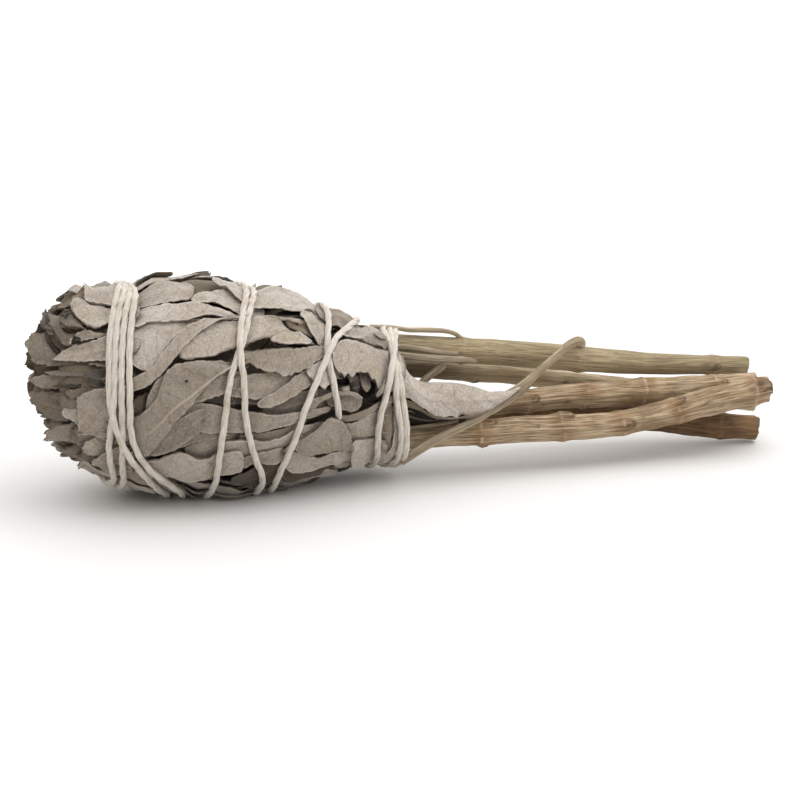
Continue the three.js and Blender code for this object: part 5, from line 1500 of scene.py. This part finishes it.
# %% The five stems
SMOOTH = {"grain": 0.6, "ridges": 9}
GRAINED = {"grain": 1.25, "ridges": 14}
STEMS = {
    "stem_1": (
        [(-36, -1, 29), (-18, 0.6, 27.6), (1, 2, 25.2), (14.2, 3, 23.3), (23, 3.4, 22.1),
         (34.2, 4, 20.3), (41, 4.3, 19.2), (54.7, 4.8, 17.2), (68.5, 5.2, 15.8), (77, 5.5, 15)],
        [2.5, 2.6, 2.55, 2.58, 2.62, 2.66, 2.62, 2.28, 1.98, 1.9], [14.2, 39.2, 69.3],
        [(69.2, 5, 0.75, 0.3), (40, -160, 1, 0.6), (47, 60, 0.3, 0.05)], SMOOTH),
    "stem_2": (
        [(-34, 8.5, 22), (-16, 7.6, 20.6), (2.5, 7.2, 19.6), (18.5, 8, 17.2), (24.7, 8.3, 16.4),
         (36, 8.8, 14.2), (50.7, 8.9, 11.6), (65.4, 8.4, 8.9), (80, 7.8, 6.1)],
        [2, 2, 2, 2.02, 2.06, 2.05, 1.92, 1.87, 1.87], [18.5, 58],
        # painted shade on stem 2's left part, under the stalks
        [(18.3, -40, 0.7, 0.3), (37.5, -2, 0.6, 0.08)], dict(SMOOTH, painted_shade_left=0.75)),
    "stem_3": (
        [(-36, -5, 18), (-18, -4.2, 15.8), (-0.6, -3.2, 13.2), (4.9, -2.9, 13.1), (15.8, -2.4, 13.3),
         (25.7, -2, 13.2), (33.4, -1.8, 13.3), (39, -1.7, 13.2), (51.3, -1.4, 13.05), (68.4, -1.1, 12.6),
         (76.6, -1, 12.6)],
        [2.4, 2.5, 2.6, 2.6, 2.45, 2.32, 2.45, 2.5, 2.8, 2.6, 2.5], [25.7, 38.6, 51, 67.6],
        [(27, 20, 0.85, 0.4), (34, -15, 0.5, 0.12), (68.4, 38, 0.9, 0.35), (38.4, -60, 0.7, 0.3)], GRAINED),
    "stem_4": (
        [(-36, -6, 13.6), (-18, -5.6, 11.2), (-1.4, -6, 8.9), (5.4, -6.4, 8.8), (14.8, -7.2, 8.8),
         (23.9, -7.5, 8.9), (30.3, -7.7, 8.7), (38, -7.7, 8.5), (44.1, -7.6, 8.6), (49.7, -7.5, 9.15),
         (55.8, -7.3, 10), (63.7, -7.1, 11.4), (75, -7, 12.9), (76.5, -7, 13)],
        [2.4, 2.4, 2.4, 2.4, 2.5, 2.72, 2.72, 2.62, 2.52, 2.52, 2.68, 2.85, 2.74, 2.74],
        [15, 31.6, 44.6, 56.2, 73.6],
        [(32.6, 84, 1.2, 0.65), (45.2, 2, 1.2, 0.45), (57.4, 62, 0.9, 0.5), (16.6, 70, 1.2, 0.15),
         (15.4, -75, 0.8, 0.4), (6, 20, 0.7, 0.1), (74.4, 42, 1.9, 0.5), (26, 25, 0.4, 0.08)], GRAINED),
    "stem_5": (
        [(-34, 4.5, 12.2), (-16, 4, 11.6), (1.3, 3.2, 11.2), (17.6, 3.3, 10.5), (34.1, 3.2, 8.8),
         (55.1, 2.2, 6), (61.7, 1.6, 4.9), (70, 0.9, 3.7), (77.5, 0.2, 2.9)],
        [2.3, 2.35, 2.38, 2.4, 2.4, 2.56, 2.56, 2.62, 2.6], [28, 69.6],
        [(70.2, 42, 1.1, 0.5), (47, 30, 0.7, 0.1)], GRAINED),
}
stems = {}
for k, (name, (points, radii, joints, scars, rough)) in enumerate(STEMS.items()):
    stems[name] = stem("bare_" + name, points, radii, joints, scars, 300 + 20 * k, rough)

# %% [markdown]
# Some leaf stalks stayed on the stems. A dry stalk is a narrow strap with a shallow groove
# along its inner side. Each is lofted through points read off the photograph. It has the
# CAD node that it belongs to, its points, half its height along the way and half its depth.

# %% Leaf stalks
STALK_COLUMNS = 14


def strap(name, points, tall, deep, seed):
    tall_at = np.interp(np.linspace(0, 1, len(points)), np.linspace(0, 1, len(tall)), tall)
    line, half, way = along_line(points, tall_at, 0.4)
    tangent, side, up = frames(line)
    way = way[:, None]
    share = way / way[-1]
    angle = np.linspace(0, 2 * np.pi, STALK_COLUMNS + 1)[None, :-1]
    groove_in = 0.45 * deep * np.clip(np.cos(angle), 0, 1) ** 2
    ends = np.sqrt(np.clip(np.minimum(share, 1 - share) * way[-1] / 0.4, 0.0, 1))
    uneven = 1 + 0.08 * wander(way / 2.2 + angle, seed)
    outer = (deep * np.cos(angle) - groove_in) * uneven * ends
    height = half[:, None] * np.sin(angle) * uneven * ends
    points = line[:, None] + outer[..., None] * side[:, None] + height[..., None] * up[:, None]
    points = points.reshape(-1, 3)
    fields = {key: np.zeros(len(points)) for key in ("ring", "scar", "cut", "near_joint")}
    quads = tube_quads(len(line), STALK_COLUMNS)
    return make_mesh(name, rest_on_floor(points), quads, fields, uv_of(angle, way), poles=True)


STALKS = {
    "top_stalk": (
        "stem_1", [(-6, 0, 30.4), (-0.5, 0.5, 29.6), (2.3, 1, 28.9), (6.2, 1.7, 28.4), (10.2, 2.3, 27.8),
                   (12.7, 2.8, 26.9), (14.2, 3, 25.6)], [0.4, 0.45, 0.5, 0.45, 0.5], 1.1),
    "thin_stalk": (
        "stem_1", [(-6, -2, 27.6), (-0.4, -1.9, 26.5), (2.6, -1.7, 25.9), (6.1, -1.5, 25),
                   (9.4, -1.2, 24.2), (12.4, -0.8, 23.7)], [0.4, 0.42, 0.42, 0.3], 0.4),
    "grooved_stalk": (
        "stem_2", [(-6, -2.2, 25.9), (-0.1, -1.9, 24.7), (4, -1.7, 23.8), (9.4, -1.4, 23),
                   (13.8, -0.9, 22.4), (16.5, 0.2, 21.5)], [0.6, 0.65, 0.7, 0.65, 0.35], 0.5),
    "cut_stub": (
        "stem_2", [(3.5, 0.8, 16.4), (5.7, 1, 18.2), (7.9, 1.2, 19.7), (10.2, 1.4, 21.3)],
        [0.75, 0.8, 0.85], 0.6),
    "long_stalk": (
        "stem_3", [(-2.4, -8.6, 4.4), (-0.7, -9.2, 5.6), (1.7, -10, 7.3), (4.1, -10.7, 8.8),
                   (7.1, -11.3, 10.4), (9.7, -11.6, 11.6), (12.9, -11.6, 12.9), (15.7, -11, 14.1),
                   (20.1, -9.2, 15.5), (24.3, -6.1, 16.6), (26.3, -4.6, 17.4)],
        [0.9, 0.95, 0.9, 0.85, 0.75, 0.6], 0.6),
    "under_stalk": (
        "stem_3", [(-2.4, -7.7, 11.1), (0.7, -8, 11.2), (3.8, -8.3, 11.4), (6.9, -8.5, 11.7),
                   (10.1, -8.6, 12.1)], [0.35, 0.4, 0.3], 0.35),
    "neck_leaf_stalk": (
        "neck_leaf", [(13.2, -10.3, 16.6), (16, -10.1, 16.7), (18.8, -9.7, 16.8), (21.8, -8.8, 17.6),
                      (24.9, -7.6, 18.9), (28.9, -5.2, 20.8), (32.6, -2.3, 22.2), (35.6, 0, 23.4),
                      (38.2, 2, 23.7), (40, 3.6, 22.9), (40.6, 4.2, 21.8)],
        [0.2, 0.6, 0.85, 0.95, 0.85, 0.88, 0.9, 1.05, 0.8], 0.75),
}
stalk_pieces = {}
for k, (name, (owner, points, tall, deep)) in enumerate(STALKS.items()):
    stalk_pieces[name] = (owner, strap(name, points, tall, deep, 500 + k))

# %% [markdown]
# One leaf escaped the winding at the neck. Its blade is a curled sheet between a smooth
# upper edge and a torn lower one, part of it is folded under and back, and behind the fold
# a dark blade of painted shade closes the way to the stems. All three are built straight
# from their edges in space, because nothing of the head lies under them.

# %% The leaf at the neck
UPPER_EDGE = [(-2.7, -9, 27.1), (-1.5, -9.1, 24.5), (-0.2, -9.3, 22.4), (2.1, -9.4, 20.9),
              (4.9, -9.5, 20.6), (9.1, -9.7, 20.2), (12.8, -9.8, 19.2), (16.2, -9.9, 17.9),
              (19.6, -9.6, 17.7), (22.2, -8.9, 18.3)]
LOWER_EDGE = [(-4.2, -11.5, 19.2), (-1.7, -11.8, 18.1), (0.2, -12, 17.2), (2.8, -12.2, 15),
              (6.8, -12.4, 13.7), (9.8, -12.4, 13.8), (11.3, -12.2, 13.5), (14.1, -11.9, 14.1),
              (16.8, -11.2, 14.9), (20.4, -10.2, 16.6), (22.9, -9, 17.9)]
FOLD_EDGE = [(-4.8, -11.2, 18), (-1.9, -11.2, 16.6), (1, -11.2, 15.6), (2.8, -11.3, 14.1),
             (5.6, -11.4, 13.4), (8.4, -11.5, 13.2), (10.6, -11.6, 13.4)]
SHADE_SHEET_TOP = [(-4.8, -9.6, 21), (-1.9, -9.6, 19.2), (1, -9.7, 16.4), (4.4, -9.8, 14.9), (8.4, -9.9, 14.6),
              (11.6, -9.9, 14.6)]
SHADE_SHEET_FOOT = [(-4, -6.5, 8.5), (-0.7, -6.5, 8.5), (3, -6.4, 8.8), (7, -6.4, 9.4), (11.8, -6.4, 10.2)]
BLADE_ROWS = 90
BLADE_COLUMNS = 34
BLADE_LONG = 27


def free_blade(name, upper, lower, bulge, seed, torn, tint, bark):
    one = smooth_line(upper, 0.05)[0]
    two = smooth_line(lower, 0.05)[0]
    u = np.linspace(0, 1, BLADE_ROWS)
    one = one[(u * (len(one) - 1)).astype(int)]
    two = two[(u * (len(two) - 1)).astype(int)]
    v = np.linspace(0, 1, BLADE_COLUMNS)[None, :]
    x = u[:, None] * BLADE_LONG
    rip = 0.75 * np.abs(wander(x / 1.7, seed)) + 0.4 * wander(x / 0.6, seed + 1)
    reach = v * (1 - torn * 0.15 * rip * v ** 4)
    grid = lerp(one[:, None], two[:, None], reach[..., None])
    wave = bulge * 4 * v * (1 - v) + 0.35 * rumple(x / 6, v * 2.2, seed + 2)
    wave = wave + 0.05 * rumple(x / 1.6, v * 7, seed + 3)
    wave = wave + 0.14 * np.exp(-((v - 0.5) / 0.05) ** 2)
    grid = grid + wave[..., None] * np.array([0, -1.0, 0.15])
    thick = BLADE_THICK * (0.5 + 0.5 * np.minimum(1, 8 * np.minimum(v, 1 - v)))
    under = grid + thick[..., None] * np.array([0, 1.0, -0.1])
    wide = np.linalg.norm(one - two, axis=1)[:, None]
    y = (v - 0.45) * wide
    values = dict(margin=(1 - v) * wide * (1 - 0.8 * bark), tint=tint, brown=1, bark=bark, ribbed=0.5)
    fields = {key: np.tile((values[key] + 0 * y).ravel(), 2) for key in LEAF_FIELDS}
    fields["underside"] = np.repeat([0.0, 1.0], y.size)
    points = np.concatenate([grid.reshape(-1, 3), under.reshape(-1, 3)])
    uv = np.tile(uv_of(x, y), (2, 1))
    return make_mesh(name, points, shell_quads(BLADE_ROWS, BLADE_COLUMNS), fields, uv)


NECK_BLADES = {
    "neck_leaf_blade": (UPPER_EDGE, LOWER_EDGE, 0.7, 700, 0.7, 1.0, 0.07),
    "neck_leaf_fold": (LOWER_EDGE, FOLD_EDGE, 0.1, 720, 0.8, 0.3, 0.8),
    # painted shade: a dark sheet standing for the shade behind the fold, between the leaf and the stems
    "neck_leaf_shade_sheet": (SHADE_SHEET_TOP, SHADE_SHEET_FOOT, -0.4, 740, 0, -0.8, 0.0),
}
neck_pieces = [free_blade(name, *values) for name, values in NECK_BLADES.items()]

# %% [markdown]
# The materials are made from nodes, with no picture. These helpers each add one node, or a
# few that always go together, and give back the socket to go on with.

# %% Helpers for materials
def shader_group(name, inputs, outputs):
    tree = bpy.data.node_groups.new(name, "ShaderNodeTree")
    for label, value in inputs.items():
        socket = tree.interface.new_socket(label, in_out="INPUT", socket_type="NodeSocketFloat")
        socket.default_value = value
    for label in outputs:
        tree.interface.new_socket(label, in_out="OUTPUT", socket_type="NodeSocketFloat")
    return tree, tree.nodes.new("NodeGroupInput"), tree.nodes.new("NodeGroupOutput")


def noise(tree, vector, scale, detail=3.0, rough=0.55, distort=0.0):
    return node(tree, "ShaderNodeTexNoise", {
        "Vector": vector, "Scale": scale, "Detail": detail, "Roughness": rough,
        "Distortion": distort}).outputs["Fac"]


def remap(tree, value, from_low, from_high, to_low=0.0, to_high=1.0):
    return node(tree, "ShaderNodeMapRange", {
        "Value": value, "From Min": from_low, "From Max": from_high,
        "To Min": to_low, "To Max": to_high}).outputs["Result"]


def attribute(tree, name):
    return node(tree, "ShaderNodeAttribute", attribute_name=name).outputs["Fac"]


def mixed(tree, factor, a, b, mode="MIX"):
    made = node(tree, "ShaderNodeMix", {0: factor, 6: a, 7: b}, data_type="RGBA", blend_type=mode)
    return made.outputs[2]


def place_in(tree):
    return tree.nodes.new("ShaderNodeTexCoord").outputs["Object"]


def uv_in(tree):
    return node(tree, "ShaderNodeUVMap", uv_map="UVMap").outputs["UV"]


def grouped(tree, group, **values):
    made = node(tree, "ShaderNodeGroup", node_tree=group)
    for label, value in values.items():
        made.inputs[label].default_value = value
    return made.outputs


def new_material(name, roughness, specular):
    material = bpy.data.materials.get(name) or bpy.data.materials.new(name)
    material.use_nodes = True
    shader = material.node_tree.nodes["Principled BSDF"]
    shader.inputs["Roughness"].default_value = roughness
    shader.inputs["Specular IOR Level"].default_value = specular
    return material, material.node_tree, shader


def add_bump(tree, shader, height, distance, strength=1.0):
    bump = node(tree, "ShaderNodeBump", {"Height": height, "Distance": distance * MM, "Strength": strength})
    tree.links.new(bump.outputs["Normal"], shader.inputs["Normal"])


print("node groups so far:", [group.name for group in bpy.data.node_groups])

# %% [markdown]
# Some effects are used by more than one material, so each is a shader node group that is
# built once: soft blotches, fine felt, the net of veins in a leaf, and the streaked grain of
# bark. They give back only masks and heights. The Principled BSDF stays outside.

# %% Shader groups
blotches, given, result = shader_group("blotches", {"Scale": 120.0}, ["Broad", "Fine"])
tree = blotches
spot = place_in(tree)
broad = remap(tree, noise(tree, spot, given.outputs["Scale"], 4.0), 0.35, 0.65)
tree.links.new(broad, result.inputs["Broad"])
finer_scale = times(tree, given.outputs["Scale"], 7.0)
tree.links.new(remap(tree, noise(tree, spot, finer_scale, 3.0, 0.6), 0.3, 0.7), result.inputs["Fine"])

felt, given, result = shader_group("felt", {"Grain": 2600.0}, ["Height"])
tree = felt
spot = place_in(tree)
pebbles = node(tree, "ShaderNodeTexVoronoi", {"Vector": spot, "Scale": given.outputs["Grain"]},
               feature="SMOOTH_F1").outputs["Distance"]
nap = noise(tree, spot, times(tree, given.outputs["Grain"], 2.2), 2.0, 0.7)
tree.links.new(calc(tree, "MULTIPLY_ADD", nap, 0.6, pebbles), result.inputs["Height"])

vein_net, given, result = shader_group("vein_net", {"Size": 1.0, "Spacing": 0.7}, ["Lines", "Sides"])
tree = vein_net
uv = uv_in(tree)
bent = node(tree, "ShaderNodeTexNoise", {"Vector": uv, "Scale": 0.9, "Detail": 2.0}).outputs["Color"]
uneven = vectors(tree, "MULTIPLY_ADD", bent, (0.9, 0.9, 0.0), uv)
meshes = node(tree, "ShaderNodeTexVoronoi", {"Vector": uneven, "Scale": given.outputs["Size"]},
              feature="DISTANCE_TO_EDGE").outputs["Distance"]
tree.links.new(remap(tree, meshes, 0.0, 0.15, 1.0, 0.0), result.inputs["Lines"])
parts = node(tree, "ShaderNodeSeparateXYZ", {"Vector": uneven})
slanted = calc(tree, "MULTIPLY_ADD", calc(tree, "ABSOLUTE", parts.outputs["Y"]), -0.9, parts.outputs["X"])
from_vein = calc(tree, "PINGPONG", times(tree, slanted, given.outputs["Spacing"]), 1.0)
tree.links.new(remap(tree, from_vein, 0.03, 0.16, 1.0, 0.0), result.inputs["Sides"])

grain, given, result = shader_group("bark_grain", {"Across": 1.6, "Along": 0.12}, ["Streaks", "Cracks"])
tree = grain
uv = uv_in(tree)
stretch = vector_of(tree, given.outputs["Across"], given.outputs["Along"])
flat = vectors(tree, "MULTIPLY", uv, stretch)
streaks = noise(tree, flat, 1.0, 5.0, 0.6, 0.15)
tree.links.new(remap(tree, streaks, 0.3, 0.7), result.inputs["Streaks"])
cracks = noise(tree, flat, 3.1, 3.0, 0.6, 0.3)
tree.links.new(remap(tree, cracks, 0.36, 0.46), result.inputs["Cracks"])
print("groups:", [group.name for group in (blotches, felt, vein_net, grain)])

# %% [markdown]
# White sage dries to a warm grey with a felt of fine hairs. The felt makes it matt and
# bright at glancing angles, which Sheen gives. Each leaf has its tint, its own
# tone with painted light and shade in it, a pale midrib read from its UV map, and a brown,
# papery rim whose width comes from the leaf's `brown`. The palest, best-lit leaves are also
# painted a little cooler, as painted light on the tops.

# %% Leaf material
LEAF_GREY = (0.37, 0.315, 0.258, 1)
LEAF_WARM = (0.305, 0.25, 0.19, 1)
LEAF_PALE = (0.48, 0.42, 0.35, 1)
LEAF_RIB = (0.47, 0.385, 0.29, 1)
LEAF_VEIN = (0.17, 0.13, 0.09, 1)
LEAF_STAIN = (0.30, 0.235, 0.12, 1)
LEAF_OLIVE = (0.14, 0.10, 0.058, 1)
RIM_BROWN = (0.10, 0.066, 0.036, 1)

leaf_skin, tree, shader = new_material("leaf_skin", 0.95, 0.15)
soft = grouped(tree, blotches, Scale=150.0)
net = grouped(tree, vein_net, Size=1.25, Spacing=0.62)
colour = mixed(tree, soft["Broad"], LEAF_GREY, LEAF_WARM)
colour = mixed(tree, times(tree, soft["Fine"], 0.28), colour, LEAF_PALE)
stained = remap(tree, noise(tree, place_in(tree), 75.0, 3.0, 0.6), 0.57, 0.7, 0.0, 0.25)
colour = mixed(tree, stained, colour, LEAF_STAIN)
colour = mixed(tree, times(tree, net["Lines"], 0.22), colour, LEAF_VEIN)
colour = mixed(tree, times(tree, net["Sides"], 0.3), colour, LEAF_VEIN)
hairs = noise(tree, place_in(tree), 2300.0, 3.0, 0.75)
# painted light and shade: each leaf's colour is scaled by its tone value, paler where the leaf is lit and
# darker in gaps and shade, times fine hairs
tone_and_shade_level = times(tree, remap(tree, attribute(tree, "tint"), -0.85, 1.0, 0.042, 1.3),
            remap(tree, hairs, 0.35, 0.65, 0.8, 1.18))
# painted light: the palest, best-lit leaves are made a little greener and bluer, like the cool light on the
# tops
greener = times(tree, tone_and_shade_level, remap(tree, attribute(tree, "tint"), 0.4, 1.0, 1.0, 1.03))
bluer = times(tree, tone_and_shade_level, remap(tree, attribute(tree, "tint"), 0.4, 1.0, 1.0, 1.1))
tone_and_shade_colour = vector_of(tree, tone_and_shade_level, greener, bluer)
colour = mixed(tree, 1.0, colour, tone_and_shade_colour, "MULTIPLY")
uv = node(tree, "ShaderNodeSeparateXYZ", {"Vector": uv_in(tree)})
from_rib = calc(tree, "ABSOLUTE", uv.outputs["Y"])
rib_line = times(tree, remap(tree, from_rib, 0.1, 0.36, 0.55, 0.0), attribute(tree, "ribbed"))
colour = mixed(tree, rib_line, colour, LEAF_RIB)
downy = times(tree, remap(tree, attribute(tree, "margin"), 0.05, 0.2, 0.0, 0.6),
              remap(tree, attribute(tree, "margin"), 0.22, 0.5, 1.0, 0.0))
pale_edge = mixed(tree, 1.0, LEAF_PALE, tone_and_shade_colour, "MULTIPLY")
colour = mixed(tree, downy, colour, pale_edge)
bark_share = attribute(tree, "bark")
colour = mixed(tree, bark_share, colour, LEAF_OLIVE)
papery = remap(tree, attribute(tree, "brown"), 0.25, 1.0, 0.0, 0.42)
ragged = times(tree, papery, remap(tree, soft["Broad"], 0.2, 0.8, 0.1, 1.3))
rim_width = calc(tree, "ADD", ragged, 0.05)
rim = remap(tree, calc(tree, "DIVIDE", attribute(tree, "margin"), rim_width), 0.4, 1.6, 0.7, 0.0)
colour = mixed(tree, rim, colour, RIM_BROWN)
tree.links.new(colour, shader.inputs["Base Color"])
tree.links.new(times(tree, tone_and_shade_level, 0.4), shader.inputs["Sheen Weight"])
shader.inputs["Sheen Roughness"].default_value = 0.5
nap = grouped(tree, felt, Grain=2400.0)["Height"]
etched = calc(tree, "MULTIPLY_ADD", net["Lines"], 0.5, times(tree, net["Sides"], 0.8))
add_bump(tree, shader, calc(tree, "SUBTRACT", nap, etched), 0.07, 0.8)
print("leaf skin has", len(tree.nodes), "nodes")

# painted shade: the packed middle is coloured dark for the shade deep inside the bundle
packed_painted_dark, tree, shader = new_material("packed_leaves_painted_dark", 0.95, 0.1)
soft = grouped(tree, blotches, Scale=260.0)
colour = mixed(tree, soft["Broad"], (0.085, 0.062, 0.042, 1), (0.17, 0.14, 0.105, 1))
tree.links.new(colour, shader.inputs["Base Color"])

# %% [markdown]
# The cotton is undyed: cream, dusty from the leaves, with a few brown specks of husk. Its
# fibres run along the strands, so fine streaks follow the two numbers that Geometry Nodes
# stored on them. They slant, because the fibres of a strand are twisted as well.

# %% Cotton material
cotton, tree, shader = new_material("cotton", 0.95, 0.15)
run = times(tree, attribute(tree, "along"), 420.0)
slant = calc(tree, "MULTIPLY_ADD", attribute(tree, "around"), 9.0, times(tree, run, 0.8))
threads = vector_of(tree, slant, run)
strands_shade = noise(tree, threads, 1.0, 3.0, 0.6)
soft = grouped(tree, blotches, Scale=500.0)
colour = mixed(tree, remap(tree, strands_shade, 0.3, 0.7), (0.51, 0.452, 0.375, 1), (0.74, 0.68, 0.605, 1))
dust = remap(tree, noise(tree, place_in(tree), 210.0, 4.0), 0.57, 0.68, 0.0, 0.6)
colour = mixed(tree, dust, colour, (0.42, 0.335, 0.235, 1))
specks = remap(tree, noise(tree, place_in(tree), 900.0, 2.0), 0.70, 0.76)
colour = mixed(tree, specks, colour, (0.28, 0.19, 0.11, 1))
tree.links.new(colour, shader.inputs["Base Color"])
shader.inputs["Sheen Weight"].default_value = 0.3
add_bump(tree, shader, strands_shade, 0.1, 0.9)
print("cotton has", len(tree.nodes), "nodes")

# %% [markdown]
# Stems and stalks share one recipe with six sets of colours: olive for the young stems, with
# a copy painted lighter for stem 2 as painted light against the shade that stem 1 casts on
# it, tan and brown for the old ones, and two of straw for the stalks, the paler one partly
# their own colour and partly painted light for the stalks that lie in shade. Streaks run
# along the stem, rusty patches gather at the joints, which carry a pale ring, scars are
# dark, stem 2 is painted darker towards its left end as painted shade under the stalks, and
# the cut face shows a pale rim round a brown pith.

# %% Bark materials
RUST = (0.28, 0.135, 0.05, 1)
SCAR_AND_SHADE_BROWN = (0.09, 0.05, 0.028, 1)
CUT_WOOD = (0.46, 0.36, 0.24, 1)
PITH = (0.16, 0.10, 0.06, 1)


def bark_material(name, light, deep, crack, ring_colour, crack_share, roughness, rusty):
    material, tree, shader = new_material(name, roughness, 0.3)
    run = grouped(tree, grain, Across=2.6, Along=0.05)
    fine = grouped(tree, grain, Across=10, Along=0.2)
    soft = grouped(tree, blotches, Scale=110.0)
    both = calc(tree, "MULTIPLY_ADD", fine["Streaks"], 0.45, times(tree, run["Streaks"], 0.55))
    tone = calc(tree, "MULTIPLY_ADD", soft["Broad"], 0.3, times(tree, both, 0.7))
    colour = mixed(tree, remap(tree, tone, 0.3, 0.66), deep, light)
    patch = calc(tree, "MULTIPLY_ADD", attribute(tree, "near_joint"), 0.6, 0.22)
    patch = times(tree, patch, soft["Broad"])
    colour = mixed(tree, times(tree, patch, rusty), colour, RUST)
    darkened = times(tree, calc(tree, "SUBTRACT", 1.0, run["Cracks"]), crack_share)
    colour = mixed(tree, darkened, colour, crack)
    colour = mixed(tree, times(tree, attribute(tree, "ring"), 0.75), colour, ring_colour)
    # scars, and the painted shade on stem 2's left part, both darken to this brown
    scar_and_shade_share = times(tree, attribute(tree, "scar"), 0.9)
    colour = mixed(tree, scar_and_shade_share, colour, SCAR_AND_SHADE_BROWN)
    cut = attribute(tree, "cut")
    face = mixed(tree, remap(tree, cut, 1.1, 1.6), CUT_WOOD, PITH)
    colour = mixed(tree, remap(tree, cut, 0.2, 0.9), colour, face)
    tree.links.new(colour, shader.inputs["Base Color"])
    height = calc(tree, "MULTIPLY_ADD", run["Cracks"], 0.8, both)
    add_bump(tree, shader, height, 0.16, 1.0)
    return material


BARKS = {
    "olive_bark": ((0.48, 0.385, 0.235, 1), (0.32, 0.245, 0.137, 1), (0.2, 0.145, 0.075, 1),
                   (0.50, 0.44, 0.32, 1), 0.16, 0.6, 0.35),
    # painted light: stem 2's olive made lighter, to make up for the shade that stem 1 casts on it
    "olive_bark_painted_lighter": ((0.84, 0.695, 0.465, 1), (0.59, 0.465, 0.285, 1), (0.22, 0.16, 0.08, 1),
                        (0.66, 0.58, 0.42, 1), 0.2, 0.6, 0.3),
    "tan_bark": ((0.72, 0.58, 0.39, 1), (0.26, 0.165, 0.085, 1), (0.10, 0.055, 0.027, 1),
                 (0.66, 0.56, 0.43, 1), 0.5, 0.8, 1.3),
    "brown_bark": ((0.32, 0.2, 0.105, 1), (0.15, 0.085, 0.04, 1), (0.06, 0.035, 0.02, 1),
                   (0.33, 0.25, 0.16, 1), 0.5, 0.75, 1.0),
    "straw_stalk": ((0.54, 0.44, 0.31, 1), (0.4, 0.315, 0.2, 1), (0.20, 0.14, 0.08, 1),
                    (0.50, 0.44, 0.34, 1), 0.25, 0.85, 0.4),
    # partly painted light: a paler straw for the stalks that lie in shade, partly their own paler colour
    "straw_painted_lighter": ((0.68, 0.57, 0.42, 1), (0.48, 0.375, 0.24, 1), (0.22, 0.15, 0.08, 1),
                   (0.6, 0.5, 0.36, 1), 0.3, 0.85, 0.4),
}
barks = {name: bark_material(name, *values) for name, values in BARKS.items()}
STEM_SKIN = {
    "stem_1": ("olive_stem", "olive_bark"), "stem_2": ("olive_stem", "olive_bark_painted_lighter"),
    "stem_3": ("tan_stem", "tan_bark"), "stem_4": ("tan_stem", "tan_bark"),
    "stem_5": ("brown_stem", "brown_bark"), "neck_leaf": ("sage_leaf", "straw_stalk"),
}
# the stalks that lie in shade and get the straw painted lighter
STALKS_PAINTED_LIGHTER = ("thin_stalk", "grooved_stalk", "top_stalk", "cut_stub")
print("barks:", list(barks))

# %% [markdown]
# Last, each piece gets its material and is tied to the CAD model: it rides on the one rigid
# body and stands in for the CAD node whose form it keeps.

# %% Tie the pieces to the CAD
tied = []


def tie(piece, node_name, material=None):
    if material is not None:
        piece.data.materials.clear()
        piece.data.materials.append(material)
    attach(piece, "root")
    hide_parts(node_name)
    tied.append(piece)


for piece in leaf_pieces:
    tie(piece, "leaf_head", leaf_skin)
tie(core, "leaf_head", packed_painted_dark)
for piece in neck_pieces:
    tie(piece, "neck_leaf", leaf_skin)
tie(string, "cotton_string")
tie(fibres, "cotton_string")
for name, piece in stems.items():
    tie(piece, name, barks[STEM_SKIN[name][1]])
for name, (owner, piece) in stalk_pieces.items():
    straw = "straw_painted_lighter" if name in STALKS_PAINTED_LIGHTER else "straw_stalk"
    tie(piece, owner, barks[straw])

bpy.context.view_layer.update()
triangles = sum(face.loop_total - 2 for piece in tied for face in piece.data.polygons)
print(len(tied), "pieces with", triangles, "triangles")
